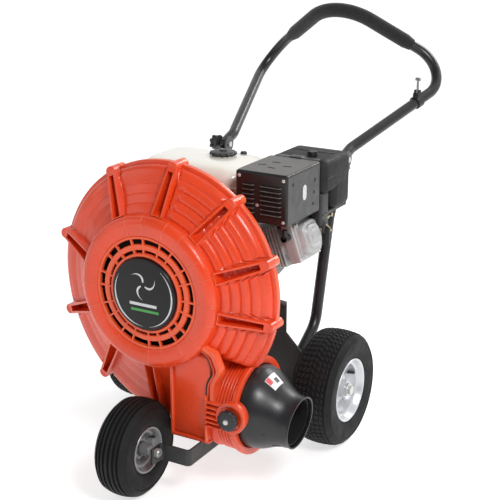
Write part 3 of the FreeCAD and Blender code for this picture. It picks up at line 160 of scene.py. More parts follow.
def bent(points, radii, step=4.0):
    """Straight runs joined by tangent arcs, as a list of close points."""
    points = [Vector(p) for p in points]
    path = [points[0]]
    for corner, following, radius in zip(points[1:-1], points[2:], radii):
        back = (path[-1] - corner).normalized()
        ahead = (following - corner).normalized()
        half = back.angle(ahead) / 2
        reach = radius / math.tan(half)
        centre = corner + (back + ahead).normalized() * (radius / math.sin(half))
        enter, leave = corner + back * reach, corner + ahead * reach
        sweep = math.pi - 2 * half
        count = max(3, int(radius * sweep / step))
        normal = (enter - centre).cross(leave - centre).normalized()
        gap = (enter - path[-1]).length
        for k in range(1, int(gap / 25)):
            path.append(path[-1].lerp(enter, 1 / (int(gap / 25) - k + 1)))
        for k in range(count + 1):
            path.append(centre + Matrix.Rotation(sweep * k / count, 3, normal) @ (enter - centre))
    gap = (points[-1] - path[-1]).length
    start = path[-1].copy()
    for k in range(1, max(2, int(gap / 25))):
        path.append(start.lerp(points[-1], k / max(2, int(gap / 25))))
    path.append(points[-1])
    return path


def slab(outline, low, high, axis=(0, 0, 1), centre=(0, 0, 0), edge=0.0):
    """A flat piece from (across, up) points, square to an axis, with an eased edge."""
    across, up, along = basis(axis)
    centre = Vector(centre)
    middle = Vector((sum(p[0] for p in outline), sum(p[1] for p in outline), 0)) / len(outline)
    levels = [(low, edge), (low + edge, 0), (high - edge, 0), (high, edge)] if edge else \
        [(low, 0), (high, 0)]
    rows = []
    for level, inset in levels:
        ring = []
        for a, b in outline:
            out = Vector((a, b, 0)) - middle
            out = out * max(0.0, 1 - inset / max(out.length, 1e-6)) + middle
            ring.append(centre + along * level + across * out.x + up * out.y)
        rows.append(ring)
    return grid(rows, caps=(True, True))


def block(x, y, z, radius=2.0, segments=3, matrix=None):
    """A box with rounded edges."""
    bm = bmesh.new()
    bmesh.ops.create_cube(bm, size=1.0)
    size = [b - a for a, b in (x, y, z)]
    middle = [(a + b) / 2 for a, b in (x, y, z)]
    for v in bm.verts:
        v.co = Vector([c * s + m for c, s, m in zip(v.co, size, middle)])
    bmesh.ops.bevel(bm, geom=bm.edges[:], offset=min(radius, min(size) * 0.49), segments=segments,
                    profile=0.5, affect="EDGES", clamp_overlap=True)
    form = Form().add([v.co[:] for v in bm.verts], [[v.index for v in f.verts] for f in bm.faces])
    bm.free()
    return form if matrix is None else form.moved(matrix)


def bolt(centre, axis, across_flats, height, washer=0.0, turn=0.0):
    """A hexagon head with a rounded top, on a washer when it has one."""
    form = Form()
    if washer:
        form.join(lathe([(0.01, 0), (washer, 0), (washer, 1.2), (washer - 0.5, 1.6), (0.01, 1.6)],
                        centre, axis, 28, closed=False))
    across, up, along = basis(axis)
    base = Vector(centre) + along * (1.6 if washer else 0)
    rows = []
    for level, scale in ((0, 1.0), (height * 0.8, 1.0), (height * 0.93, 0.94), (height, 0.82),
                         (height, 0.01)):
        r = across_flats / math.sqrt(3) * scale
        rows.append([base + along * level
                     + across * (r * math.cos(turn + math.pi / 3 * j))
                     + up * (r * math.sin(turn + math.pi / 3 * j)) for j in range(6)])
    return form.join(grid(rows, caps=(True, True)))


def round_outline(width, height, radius, count=8):
    """A rectangle with round corners as (across, up) points, centred."""
    points = []
    for k, (sx, sy) in enumerate(((1, 1), (-1, 1), (-1, -1), (1, -1))):
        for j in range(count + 1):
            a = math.pi / 2 * (k + j / count)
            points.append((sx * (width / 2 - radius) + radius * math.cos(a),
                           sy * (height / 2 - radius) + radius * math.sin(a)))
    return points


def piece(name, form, material, body, replaces=(), sharp=38):
    """One Blender object from a form, riding on its body."""
    mesh = bpy.data.meshes.new(name)
    mesh.from_pydata([(x * MM, y * MM, z * MM) for x, y, z in form.points], [], form.faces)
    bm = bmesh.new()
    bm.from_mesh(mesh)
    bmesh.ops.remove_doubles(bm, verts=bm.verts, dist=2e-6)
    bmesh.ops.dissolve_degenerate(bm, dist=1e-6, edges=bm.edges)
    bmesh.ops.recalc_face_normals(bm, faces=bm.faces)
    bm.to_mesh(mesh)
    bm.free()
    mesh.shade_smooth()
    mesh.set_sharp_from_angle(angle=math.radians(sharp))
    mesh.materials.append(material)
    obj = bpy.data.objects.new(name, mesh)
    bpy.context.scene.collection.objects.link(obj)
    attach(obj, body)
    if replaces:
        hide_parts(*replaces)
    return obj


# Materials -----------------------------------------------------------------------------

def shader(name, colour, roughness, metallic=0.0, coat=0.0, grain=None, blotch=None,
           patchy=None, rounding=1.0, edges=None, coat_roughness=0.06, specular=0.5, sheen=0.0):
    """A procedural finish. grain is (scale, depth in mm) of a fine bump; blotch is (scale, share)
    of colour variation; patchy is (scale, share) of roughness variation; edges is (colour, share)
    of wear along edges."""
    mat = bpy.data.materials.new(name)
    mat.use_nodes = True
    tree = mat.node_tree
    node, link = tree.nodes, tree.links
    bsdf = node["Principled BSDF"]
    for key, value in (("Base Color", (*colour, 1)), ("Roughness", roughness),
                       ("Metallic", metallic), ("Coat Weight", coat),
                       ("Coat Roughness", coat_roughness), ("Specular IOR Level", specular),
                       ("Sheen Weight", sheen)):
        bsdf.inputs[key].default_value = value
    where = node.new("ShaderNodeTexCoord").outputs["Object"]

    def noise(scale, detail=4.0, rough=0.55):
        made = node.new("ShaderNodeTexNoise")
        made.inputs["Scale"].default_value = scale
        made.inputs["Detail"].default_value = detail
        made.inputs["Roughness"].default_value = rough
        link.new(where, made.inputs["Vector"])
        return made.outputs["Fac"]

    def mapped(value, low, high, to_low, to_high):
        made = node.new("ShaderNodeMapRange")
        for key, number in (("From Min", low), ("From Max", high), ("To Min", to_low),
                            ("To Max", to_high)):
            made.inputs[key].default_value = number
        link.new(value, made.inputs["Value"])
        return made.outputs["Result"]

    def mixed(first, second, factor):
        made = node.new("ShaderNodeMix")
        made.data_type = "RGBA"
        made.inputs["A"].default_value = (*first, 1)
        made.inputs["B"].default_value = (*second, 1)
        link.new(factor, made.inputs["Factor"])
        return made

    tint = None
    if blotch:
        tint = mixed([c * (1 - blotch[1]) for c in colour],
                     [min(1, c * (1 + blotch[1])) for c in colour],
                     mapped(noise(blotch[0]), 0.3, 0.7, 0, 1)).outputs["Result"]
    if edges:
        pointed = node.new("ShaderNodeNewGeometry").outputs["Pointiness"]
        worn = mixed(colour, edges[0], mapped(pointed, 0.53, 0.62, 0, edges[1]))
        if tint:
            link.new(tint, worn.inputs["A"])
        tint = worn.outputs["Result"]
    if tint:
        link.new(tint, bsdf.inputs["Base Color"])
    if patchy:
        link.new(mapped(noise(patchy[0], 5.0), 0.3, 0.7, roughness * (1 - patchy[1]),
                        min(1, roughness * (1 + patchy[1]))), bsdf.inputs["Roughness"])
    normal = None
    if rounding:
        rounded = node.new("ShaderNodeBevel")
        rounded.samples = 4
        rounded.inputs["Radius"].default_value = rounding * MM
        normal = rounded.outputs["Normal"]
    if grain:
        bump = node.new("ShaderNodeBump")
        bump.inputs["Strength"].default_value = 1.0
        bump.inputs["Distance"].default_value = grain[1] * MM
        link.new(noise(grain[0], 3.0, 0.6), bump.inputs["Height"])
        if normal:
            link.new(normal, bump.inputs["Normal"])
        normal = bump.outputs["Normal"]
    if normal:
        link.new(normal, bsdf.inputs["Normal"])
    return mat


ORANGE = shader("orange_plastic", (0.72, 0.050, 0.007), 0.32, coat=0.22, grain=(90, 0.12),
                blotch=(9, 0.08), patchy=(30, 0.25), edges=((0.90, 0.20, 0.07), 0.45),
                coat_roughness=0.12)
ORANGE_GRILLE = shader("orange_grille", (0.74, 0.062, 0.010), 0.38, coat=0.15, grain=(140, 0.1),
                       blotch=(14, 0.06), edges=((0.90, 0.22, 0.08), 0.45))
BLACK_PLASTIC = shader("black_plastic", (0.017, 0.017, 0.019), 0.42, grain=(700, 0.06),
                       blotch=(20, 0.15), patchy=(40, 0.2))
NOZZLE_BLACK = shader("nozzle_plastic", (0.009, 0.009, 0.011), 0.36, coat=0.05,
                      grain=(160, 0.09), blotch=(12, 0.2), patchy=(25, 0.2), coat_roughness=0.2)
TEXTURED = shader("textured_plastic", (0.012, 0.012, 0.013), 0.6, grain=(520, 0.35),
                  blotch=(60, 0.12), patchy=(60, 0.15), edges=((0.05, 0.05, 0.05), 0.4), specular=0.3)
POWDER = shader("powder_coat", (0.009, 0.009, 0.010), 0.34, coat=0.08, grain=(420, 0.07),
                blotch=(25, 0.15), patchy=(40, 0.2), edges=((0.08, 0.08, 0.08), 0.5))
FRAME_PLATE = shader("frame_plate", (0.009, 0.009, 0.010), 0.5, grain=(380, 0.08),
                     blotch=(18, 0.15), patchy=(35, 0.15), edges=((0.05, 0.05, 0.05), 0.4))
GUARD = shader("guard_paint", (0.008, 0.008, 0.0085), 0.4, grain=(300, 0.16), blotch=(30, 0.2),
               patchy=(45, 0.25), edges=((0.10, 0.10, 0.10), 0.5))
# A lighter grey copy of the guard paint for the hood lips and the lid: painted highlight where they catch
# the light.
GUARD_LIT = shader("guard_painted_highlight", (0.11, 0.105, 0.10), 0.5, grain=(320, 0.3), blotch=(45, 0.25),
                   patchy=(45, 0.2))
RUBBER = shader("rubber", (0.0065, 0.0065, 0.007), 0.66, grain=(260, 0.18), blotch=(22, 0.25),
                patchy=(30, 0.15), edges=((0.03, 0.03, 0.03), 0.4), specular=0.28)
FOAM = shader("foam", (0.016, 0.016, 0.017), 0.85, grain=(520, 0.5), blotch=(90, 0.25),
              rounding=0, sheen=0.2, specular=0.3)
SILVER = shader("silver_paint", (0.62, 0.63, 0.65), 0.34, metallic=0.55, coat=0.2,
                grain=(200, 0.05), blotch=(16, 0.06), patchy=(30, 0.2))
GREY_RIM = shader("grey_rim", (0.27, 0.275, 0.285), 0.42, metallic=0.5, grain=(200, 0.06),
                  blotch=(20, 0.1), patchy=(30, 0.2))
CAST = shader("cast_alloy", (0.44, 0.44, 0.44), 0.42, metallic=0.3, grain=(420, 0.22),
              blotch=(35, 0.12), patchy=(50, 0.25), edges=((0.75, 0.75, 0.75), 0.5))
ZINC = shader("zinc", (0.60, 0.60, 0.59), 0.3, metallic=0.7, grain=(300, 0.03),
              blotch=(60, 0.08), patchy=(60, 0.25), rounding=0.4)
STEEL = shader("steel", (0.36, 0.36, 0.36), 0.36, metallic=0.9, grain=(500, 0.03),
               blotch=(50, 0.1), patchy=(60, 0.25), rounding=0.5)
CREAM = shader("cream_paint", (0.80, 0.775, 0.70), 0.22, coat=0.5, grain=(60, 0.06),
               blotch=(8, 0.03), patchy=(20, 0.2))
BADGE_BLACK = shader("badge_black", (0.005, 0.005, 0.006), 0.34, coat=0.05, specular=0.3, grain=(90, 0.03),
                     blotch=(30, 0.2), rounding=0.4)
BADGE_SILVER = shader("badge_silver", (0.55, 0.56, 0.57), 0.3, metallic=0.4, blotch=(40, 0.1),
                      grain=(300, 0.03), rounding=0)
BADGE_GREEN = shader("badge_green", (0.05, 0.30, 0.06), 0.4, blotch=(60, 0.15),
                     grain=(300, 0.03), rounding=0)
SOOT = shader("soot_steel", (0.03, 0.028, 0.026), 0.6, metallic=0.4, grain=(200, 0.2),
              blotch=(30, 0.25))
BRASS = shader("passivated_steel", (0.42, 0.36, 0.24), 0.35, metallic=0.9, grain=(300, 0.04),
               blotch=(60, 0.15), rounding=0.5)
# Painted shade: a near-black finish put in slots, holes and hollows where only shade falls.
PAINTED_SHADE = shader("painted_shade_inside", (0.012, 0.011, 0.011), 0.75, grain=(120, 0.1),
                     blotch=(30, 0.2))


# The blower's front casing ---------------------------------------------------------------

CROWN, INLET, SHELL = 203.0, 150.0, 317.0             # radii about the shaft
FLOOR, DUCT_END, DUCT_TOP = 384.0, 172.0, 173.0
RIBS = (-10, 19, 50, 83, 118, 163, 202, 236, 268)     # degrees above +X round the shaft
RIB_HALF, BOSS = 17.0, 14.0                           # a rib's half width at crown and rim
RIB_SKIRT = 1.16                                      # where a rib's foot ends, in half widths
SCROLL_SHIFT = FLOOR - SHELL
SHOULDER, RIM_DEPTH = 22, 10                          # the rounded edge and where it ends
FLANGE = 9


def outline_radius(angle):
    """How far the casing's outline is from the shaft at an angle in degrees."""
    angle %= 360
    c, s = math.cos(math.radians(angle)), math.sin(math.radians(angle))
    tongue = 360 - math.degrees(math.asin(DUCT_TOP / SHELL))
    if angle <= 180 or angle >= tongue:
        return SHELL
    if angle <= 270:
        along = SCROLL_SHIFT * c
        return along + math.sqrt(along ** 2 - SCROLL_SHIFT ** 2 + FLOOR ** 2)
    reach = DUCT_TOP / -s
    if reach * c > DUCT_END:
        return reach
    reach = DUCT_END / max(c, 1e-6)
    return min(reach, FLOOR / -s)


def slope(share, angle):
    """The casing's forward depth from crown (0) to shoulder (1): four rounded steps that fade."""
    angle %= 360
    smooth = 32 + 44 * (1 - share) ** 1.7
    steps = 4
    k = min(int(share * steps), steps - 1)
    local = share * steps - k
    rise = 47 / steps
    bulge = 3.2 * math.sin(math.pi * min(1, local / 0.9)) if local < 0.9 else 0
    stepped = 79 - rise * (k + 0.45 * min(1, local / 0.9)
                           + 0.55 * max(0, (local - 0.9) / 0.1)) + bulge
    if angle > 180:
        angle -= 360
    strength = 1.0 if -40 < angle < 76 else 0.75 if angle < 82 and angle > -40 else 0.22
    return smooth + (stepped - smooth) * strength


class Column:
    """A line of the casing's mesh from crown to flange, on a rib or on the panel after it.

    place is across the rib, in its half widths, or the panel's share from this rib to the next.
    Each method gives (angle in radians, radius, forward depth)."""

    def __init__(self, index, place, on_rib):
        self.place, self.on_rib, self.across = place, on_rib, abs(place)
        self.rib = RIBS[index]
        self.gap = (RIBS[(index + 1) % len(RIBS)] - self.rib) % 360
        self.nominal = self.rib if on_rib else self.rib + self.gap * place
        self.edge = outline_radius(self.nominal)
        self.reach = self.edge + 4
        self.flat_end = self.edge - SHOULDER
        self.bulge, self.flange, self.crest = 0, self.edge + FLANGE, RIM_DEPTH + SHOULDER
        if on_rib:
            half = self.half_at(self.reach)
            if self.across < 1.02:
                self.bulge = math.sqrt(max(0, half ** 2 - (min(self.across, 1.0) * half) ** 2))
            self.flange = max(self.flange, self.reach + self.bulge)
            self.crest = RIM_DEPTH if self.across > 1.02 else max(12, self.top_line(self.reach))

    def half_at(self, r):
        share = min(1, max(0, (r - CROWN) / (self.edge - CROWN)))
        return RIB_HALF + (BOSS - RIB_HALF) * share

    def top_line(self, r):
        return 92 - (92 - 36) * (r - CROWN) / (self.reach - CROWN)

    def angle_at(self, r):
        if self.on_rib:
            return math.radians(self.rib) + math.asin(min(1, self.place * self.half_at(r) / r))
        low = math.radians(self.rib) + math.asin(RIB_SKIRT * self.half_at(r) / r)
        high = math.radians(self.rib + self.gap) - math.asin(RIB_SKIRT * self.half_at(r) / r)
        return low + (high - low) * self.place

    def on_slope(self, t):
        """On the slope, which a rib's hollow top crosses."""
        foot = CROWN + 1.5
        if not self.on_rib:
            r = foot + (self.flat_end - CROWN - 1.5) * t
            return self.angle_at(r), r, slope(t, self.nominal)
        r = foot + (self.reach - CROWN - 1.5) * t
        ground = slope(min(1, (r - CROWN) / (self.flat_end - CROWN)), self.nominal)
        if r > self.flat_end:
            over = min(1, (r - self.flat_end) / SHOULDER)
            ground = 32 - SHOULDER * (1 - math.sqrt(max(0, 1 - over ** 2)))
        crest = max(ground + 2, self.top_line(r))
        for limit, depth in ((1.1, ground), (1.02, ground + 0.12 * (crest - ground)),
                             (0.99, crest - 1.6), (0.76, crest)):
            if self.across > limit:
                return self.angle_at(r), r, depth
        slot = (12.2 - 5.2 * (r - CROWN) / (self.reach - CROWN)) / self.half_at(r)
        angle = math.radians(self.rib) + math.asin(self.place * (slot / 0.74)
                                                   * self.half_at(r) / r)
        if r > self.reach - 11 or r < CROWN + 4:
            return angle, r, crest
        return angle, r, {0.74: crest - 0.6, 0.66: ground - 14, 0.5: ground - 24,
                          0: ground - 26}[self.across]

    def on_round(self, t):
        """Over the rounded edge, or over a rib's end."""
        a = math.pi / 2 * t
        if not self.on_rib:
            r = self.flat_end + SHOULDER * math.sin(a)
            return self.angle_at(r), r, RIM_DEPTH + SHOULDER * math.cos(a)
        r = self.reach + self.bulge * t
        if self.bulge > 2:
            r = self.reach + (self.bulge - 2.0) * min(1, t * 1.6) + 2.0 * math.sin(a)
        depth = self.crest - 2.0 * (1 - math.cos(a)) if t < 1 else self.crest - 2.5
        return self.angle_at(self.reach), min(r, self.reach + self.bulge), depth

    def on_side(self, t):
        """Down the side to the flange."""
        if self.on_rib:
            return (self.angle_at(self.reach), self.reach + self.bulge,
                    (self.crest - 3) * (1 - t) + 8.4 * t)
        return self.angle_at(self.edge), self.edge, 10 - 1.6 * t

    def on_flange(self, row):
        """Round the flange: a row is (its depth, how far inside the flange's edge)."""
        depth, inset = row
        radius = self.edge - 5 if inset is None else self.flange - inset
        if depth > 7 and self.on_rib and self.flange > self.edge + FLANGE + 0.01:
            depth, radius = (8.2 if inset else 8.0), self.flange
        return self.angle_at(min(radius, self.reach)), radius, depth


def casing_columns():
    """Seventeen columns across each rib, and one every 1.5 degrees on the panels."""
    across = (-RIB_SKIRT, -1.05, -1.0, -0.93, -0.80, -0.74, -0.66, -0.5, 0,
              0.5, 0.66, 0.74, 0.80, 0.93, 1.0, 1.05, RIB_SKIRT)
    columns = []
    for i, angle in enumerate(RIBS):
        columns += [Column(i, d, True) for d in across]
        count = int((RIBS[(i + 1) % len(RIBS)] - angle) % 360 / 1.5)
        columns += [Column(i, (k + 1) / (count + 1), False) for k in range(count)]
    return columns


def crown_profile():
    """The round crown about the inlet, from its inner lip to its outer foot."""
    points = [(INLET, 98), (INLET, 105), (INLET + 1.2, 107.4), (INLET + 4, 109.2)]
    for k in range(1, 9):
        a = math.radians(100 - 100 * k / 9)
        points.append((180 + 22.5 * math.cos(a), 94 + 18.5 * math.sin(a)))
    points += [(CROWN, 92), (CROWN + 0.3, 84), (CROWN + 1.5, 80.5)]
    return points


FLANGE_ROWS = ((8.0, 0.8), (7.2, 0), (0.0, 0), (0.0, None), (4.0, None))


def casing():
    columns = casing_columns()
    rows = []

    def add_row(places):
        rows.append([(SHAFT[0] + r * math.cos(a), SHAFT[1] - depth, SHAFT[2] + r * math.sin(a))
                     for a, r, depth in places])

    angles = [column.on_slope(0)[0] for column in columns]
    for radius, depth in crown_profile():
        add_row([(a, radius, depth) for a in angles])
    marks = [(k + s) / 4 for k in range(4)
             for s in (0, 0.08, 0.2, 0.35, 0.5, 0.65, 0.78, 0.87, 0.9, 0.95)]
    for t in marks + [1.0]:
        add_row([column.on_slope(t) for column in columns])
    for t in (0.2, 0.4, 0.6, 0.8, 1.0):
        add_row([column.on_round(t) for column in columns])
    for t in (0.5, 1.0):
        add_row([column.on_side(t) for column in columns])
    for row in FLANGE_ROWS:
        add_row([column.on_flange(row) for column in columns])
    for radius, depth in ((CROWN - 6, 60), (INLET, 92)):
        add_row([(a, radius, depth) for a in angles])
    return grid(rows, wrap_rows=True)


def crown_seams():
    """Fine raised lines across the crown, in pairs, in line with the grille's spokes."""
    form = Form()
    profile = [p for p in crown_profile()[2:-1]]
    for i in range(10):
        for side in (-7.5, 7.5):
            a = math.radians(64 + 36 * i + side)
            c, s = math.cos(a), math.sin(a)
            path = [(r * c, SHAFT[1] - depth + 0.2, SHAFT[2] + r * s) for r, depth in profile]
            form.join(ribbon(path, [(-1.1, -1.0), (1.1, -1.0), (0.7, 0.9), (-0.7, 0.9)],
                             (0, -1, 0)))
    return form


def duct():
    """The flat-fronted duct under the crown, with its raised edge."""
    form = block((62, 178), (-491, -404), (148, 388), 11, 4)
    form.join(block((57, 66), (-497, -404), (146, 366), 3.2, 3))
    form.join(block((57, 176), (-497, -404), (144, 153), 3.2, 3))
    lip = bent([(146, -502, 420), (190, -500, 396), (207, -496, 350), (187, -498, 318),
                (186, -497, 262)], [18, 30, 60], 3)
    form.join(ribbon(lip, [(-6.5, -22), (6.5, -22), (6.5, 2), (5, 4), (-5, 4), (-6.5, 2)],
                     (0, -1, 0)))
    inner = [p + Vector((-15, 1, -7)) for p in lip]
    form.join(ribbon(inner, [(-2.5, -22), (2.5, -22), (2.5, -1), (1.4, 0), (-1.4, 0), (-2.5, -1)],
                     (0, -1, 0)))
    return form


def duct_painted_shadow():
    """A painted shadow: a dark strip along the duct's raised edge, where shade falls."""
    path = bent([(127, -499, 412), (170, -497, 388), (186, -493, 346), (168, -496, 312),
                 (167, -495, 262)], [18, 30, 60], 3)
    return ribbon(path, [(-2.2, -20), (2.2, -20), (2.2, -0.5), (-2.2, -0.5)], (0, -1, 0))


housing = casing().join(crown_seams()).join(duct())
piece("casing_front", housing, ORANGE, "chassis", ["housing_front"], sharp=50)


# A dark strip painted where the duct's raised edge throws its shadow.
piece("duct_painted_shadow", duct_painted_shadow(), PAINTED_SHADE, "chassis")


# Intake grille and badge -------------------------------------------------------------------

def on_shaft(forward):
    return (0, SHAFT[1] - forward, SHAFT[2])


def intake():
    """Rings and paired spokes over the intake."""
    form = lathe([(143, 96), (150.5, 96), (150.5, 106), (149, 107.5), (144.5, 107.5), (143, 106)],
                 on_shaft(0), FORWARD, 120)
    form.join(lathe([(114, 97), (129, 97), (129, 103), (127.5, 105.5), (115.5, 105.5), (114, 104)],
                    on_shaft(0), FORWARD, 120))
    form.join(lathe([(60, 97), (106, 97), (106, 107), (104.5, 109.5), (99, 110), (97.5, 108),
                     (97.2, 104), (60, 104)], on_shaft(0), FORWARD, 120))
    for i in range(10):
        for side in (-7.5, 7.5):
            turn = Matrix.Translation(on_shaft(0)) @ Matrix.Rotation(
                -math.radians(64 + 36 * i + side), 4, "Y")
            form.join(block((99, 146), (-107, -98), (-2.3, 2.3), 1.2, 2, turn))
    return form


piece("grille", intake(), ORANGE_GRILLE, "chassis", ["intake_grille"])
# A near-black disc behind the grille: painted shade seen through its slots.
piece("grille_painted_shade", lathe([(96, 60), (150, 60), (150, 63), (96, 63)], on_shaft(0), FORWARD, 90),
      PAINTED_SHADE, "rotor")
piece("badge", lathe([(0.01, 112), (0.01, 117.2), (90, 117.2), (94, 116.6), (96, 114), (96, 110),
                      (90, 109.5), (90, 112)], on_shaft(0), FORWARD, 120), BADGE_BLACK, "chassis",
      ["badge_disc"])


def arc_strip(radius, width, start, end):
    """A flat arc on the badge's face, narrowing to its ends."""
    outer, inner = [], []
    for k in range(33):
        t = k / 32
        a = math.radians(start + (end - start) * t)
        half = width / 2 * math.sin(math.pi * min(max(t, 0.03), 0.97))
        outer.append(((radius + half) * math.cos(a), (radius + half) * math.sin(a)))
        inner.append(((radius - half) * math.cos(a), (radius - half) * math.sin(a)))
    rows = []
    for ring in (outer, inner):
        for level in (117.0, 117.9):
            rows.append([(x, SHAFT[1] - level, SHAFT[2] + z) for x, z in ring])
    return grid([rows[0], rows[1], rows[3], rows[2]], wrap_rows=True, wrap_columns=False)


def swirl():
    """Three curved fan blades."""
    form = Form()
    for i in range(3):
        rows = []
        for level in (117.0, 118.2):
            for side in (-1, 1):
                line = []
                for k in range(17):
                    t = k / 16
                    r = 7 + 34 * t
                    a = math.radians(90 + 120 * i + 58 * t * t
                                     + side * (15 + 8 * t) * (1 - t ** 3) ** 0.8 * 14 / (8 + r))
                    line.append((r * math.cos(a), SHAFT[1] - level, SHAFT[2] + 26 + r * math.sin(a)))
                rows.append(line)
        form.join(grid([rows[0], rows[1], rows[3], rows[2]], wrap_rows=True, wrap_columns=False))
    return form


emblem = arc_strip(86, 4.5, 148, 268).join(arc_strip(86, 4.5, -78, 52)).join(swirl())
emblem.join(block((-42, 40), (SHAFT[1] - 118, SHAFT[1] - 117), (SHAFT[2] - 31, SHAFT[2] - 23), 0.4))
piece("badge_emblem", emblem, BADGE_SILVER, "chassis")
piece("badge_bar", block((-38, 46), (SHAFT[1] - 118, SHAFT[1] - 117),
                         (SHAFT[2] - 46, SHAFT[2] - 39), 0.4), BADGE_GREEN, "chassis")


# Discharge collar, nozzle and its knob -------------------------------------------------------

OUTLET_Y, OUTLET_Z = -380.0, 227.0
KNOB_X, KNOB_Z = 248, 241


def rectangle_ring(half_y, half_z, middle_y, middle_z, power):
    """(y, z) points round a rectangle whose corners are rounder at a lower power."""
    ring = []
    for a in turns(96):
        c, s = math.cos(a), math.sin(a)
        r = (abs(c / half_y) ** power + abs(s / half_z) ** power) ** (-1 / power)
        ring.append((middle_y + r * c, middle_z + r * s))
    return ring


def round_ring(x, radius, middle_z=OUTLET_Z, lean=0.0):
    """A circle about the outlet's line, leaning forward at its top."""
    return [(x + radius * math.sin(a) * math.sin(lean), OUTLET_Y + radius * math.cos(a),
             middle_z + radius * math.sin(a) * math.cos(lean)) for a in turns(96)]


def collar():
    rows = []
    for k in range(7):
        t = k / 6
        ease = t * t * (3 - 2 * t)
        square = rectangle_ring(82.5 + 37 * ease, 105.5 + 14 * ease, -408.5 + 28.5 * ease,
                                252.5 - 25.5 * ease, 9 - 7 * ease ** 0.5)
        rows.append([(171 + 24 * t, y, z) for y, z in square])
    for i in range(5):
        x = 197 + 9 * i
        for offset, lift in ((0, 0), (1.5, 3.2), (2.5, 4.2), (4.5, 4.2), (5.5, 3.2), (7, 0)):
            rows.append(round_ring(x + offset, 119.5 + i * 0.4 + lift))
    rows.append(round_ring(242, 122.5))
    for x, r in ((243, 128.5), (244.2, 130.6), (246, 131), (254.5, 131), (256.4, 130.2),
                 (257, 128.5), (257, 114.5), (256, 112.6), (253, 111.8), (245, 111.6),
                 (200, 111), (171, 100)):
        rows.append(round_ring(x, r))
    form = grid(rows, wrap_rows=True)
    boss = [(0.01, -40), (36, -40), (41, -20), (42.5, -2), (41, 0.5), (38.5, 1), (33, 1),
            (31, -1.5), (0.01, -2)]
    form.join(lathe(boss, (246, -512, 240), FORWARD, 72, closed=False))
    for i in range(6):
        form.join(block((168, 214), (-514 + 2 * abs(i - 2), -478),
                        (199.5 + 13 * i, 203.5 + 13 * i), 1.6, 2))
    form.join(block((166, 173), (-506, -478), (150, 282), 3, 2))
    return form


piece("collar", collar(), ORANGE, "chassis", ["discharge_collar"], sharp=45)

NOZZLE_SHAPE = [(240, 110.5), (258, 110.5), (266, 110), (275, 108.6), (284, 106), (293, 102.4),
                (302, 97.6), (311, 92), (320, 86.4), (329, 81), (338, 76.4), (347, 73),
                (355, 71.2), (363, 70.2), (371, 69.4), (376, 69.2)]


NOZZLE_DROP, NOZZLE_LEAN = 22, math.radians(6.4)      # of its mouth


def droop(x):
    """The share of the mouth's drop and lean that the nozzle has at x."""
    share = max(0.0, min(1.0, (x - 258) / 112))
    return share * share * (3 - 2 * share)


def nozzle_row(x, radius):
    return round_ring(x, radius, OUTLET_Z - NOZZLE_DROP * droop(x), NOZZLE_LEAN * droop(x))


def nozzle_surface(x, angle, lift):
    """A point on the nozzle, lifted off it."""
    radius = float(np.interp(x, [p[0] for p in NOZZLE_SHAPE], [p[1] for p in NOZZLE_SHAPE])) + lift
    lean = NOZZLE_LEAN * droop(x)
    rise = radius * math.sin(angle)
    return (x + rise * math.sin(lean), OUTLET_Y + radius * math.cos(angle),
            OUTLET_Z - NOZZLE_DROP * droop(x) + rise * math.cos(lean))


def nozzle():
    rows = [nozzle_row(x, r) for x, r in NOZZLE_SHAPE]
    rows += [nozzle_row(377.4, r) for r in (70.6, 70.9)]
    rows += [nozzle_row(378, r) for r in (70, 67)]
    rows += [nozzle_row(376, 66.3)]
    rows += [nozzle_row(x, r - 3) for x, r in reversed(NOZZLE_SHAPE[:-1])]
    return grid(rows, wrap_rows=True)


def nozzle_patch(x, angles, lift, count=10):
    """A thin curved rectangle on the nozzle, from x to x and from angle to angle."""
    rows = []
    for k in range(count + 1):
        t = k / count
        a = math.radians(angles[0] + (angles[1] - angles[0]) * t)
        line = [nozzle_surface(x[0] + (x[1] - x[0]) * j / count, a, lift) for j in range(count + 1)]
        under = [nozzle_surface(x[0] + (x[1] - x[0]) * j / count, a, -1)
                 for j in reversed(range(count + 1))]
        rows.append(line + under)
    return grid(rows, caps=(True, True))


LABEL_WHITE = shader("label_white", (0.80, 0.80, 0.80), 0.4, grain=(60, 0.02), blotch=(40, 0.03),
                     rounding=0)
LABEL_RED = shader("label_red", (0.72, 0.10, 0.12), 0.4, grain=(60, 0.02), blotch=(40, 0.05),
                   rounding=0)
LABEL_GREY = shader("label_grey", (0.10, 0.10, 0.11), 0.5, grain=(60, 0.02), blotch=(40, 0.05),
                    rounding=0)
piece("nozzle_cone", nozzle(), NOZZLE_BLACK, "nozzle", ["nozzle"], sharp=60)
# A near-black cone inside the nozzle's mouth: painted shade.
piece("nozzle_painted_shade", lathe([(60, 0), (64, 0), (100, -120), (96, -120)],
                           (368, OUTLET_Y, 206), (1, 0, -0.11), 64), PAINTED_SHADE, "nozzle")
piece("nozzle_label", nozzle_patch((292, 318), (84, 112), 0.5), LABEL_WHITE, "nozzle")
piece("nozzle_label_end", nozzle_patch((293, 306), (102, 111), 0.8), LABEL_RED, "nozzle")
piece("nozzle_label_mark", nozzle_patch((302, 312), (89, 97), 0.8), LABEL_GREY, "nozzle")
screws = Form()
for x, angle in ((318, 196), (262, 250)):
    spot = nozzle_surface(x, math.radians(angle), -1.0)
    screws.join(lathe([(0.01, 0), (4, 0), (4, 1.4), (3, 2.2), (0.01, 2.2)], spot,
                      (0.3, math.cos(math.radians(angle)), math.sin(math.radians(angle))), 20,
                      closed=False))
screws.join(nozzle_patch((330, 352), (228, 229.5), 0.8))
piece("nozzle_details", screws, BLACK_PLASTIC, "nozzle")


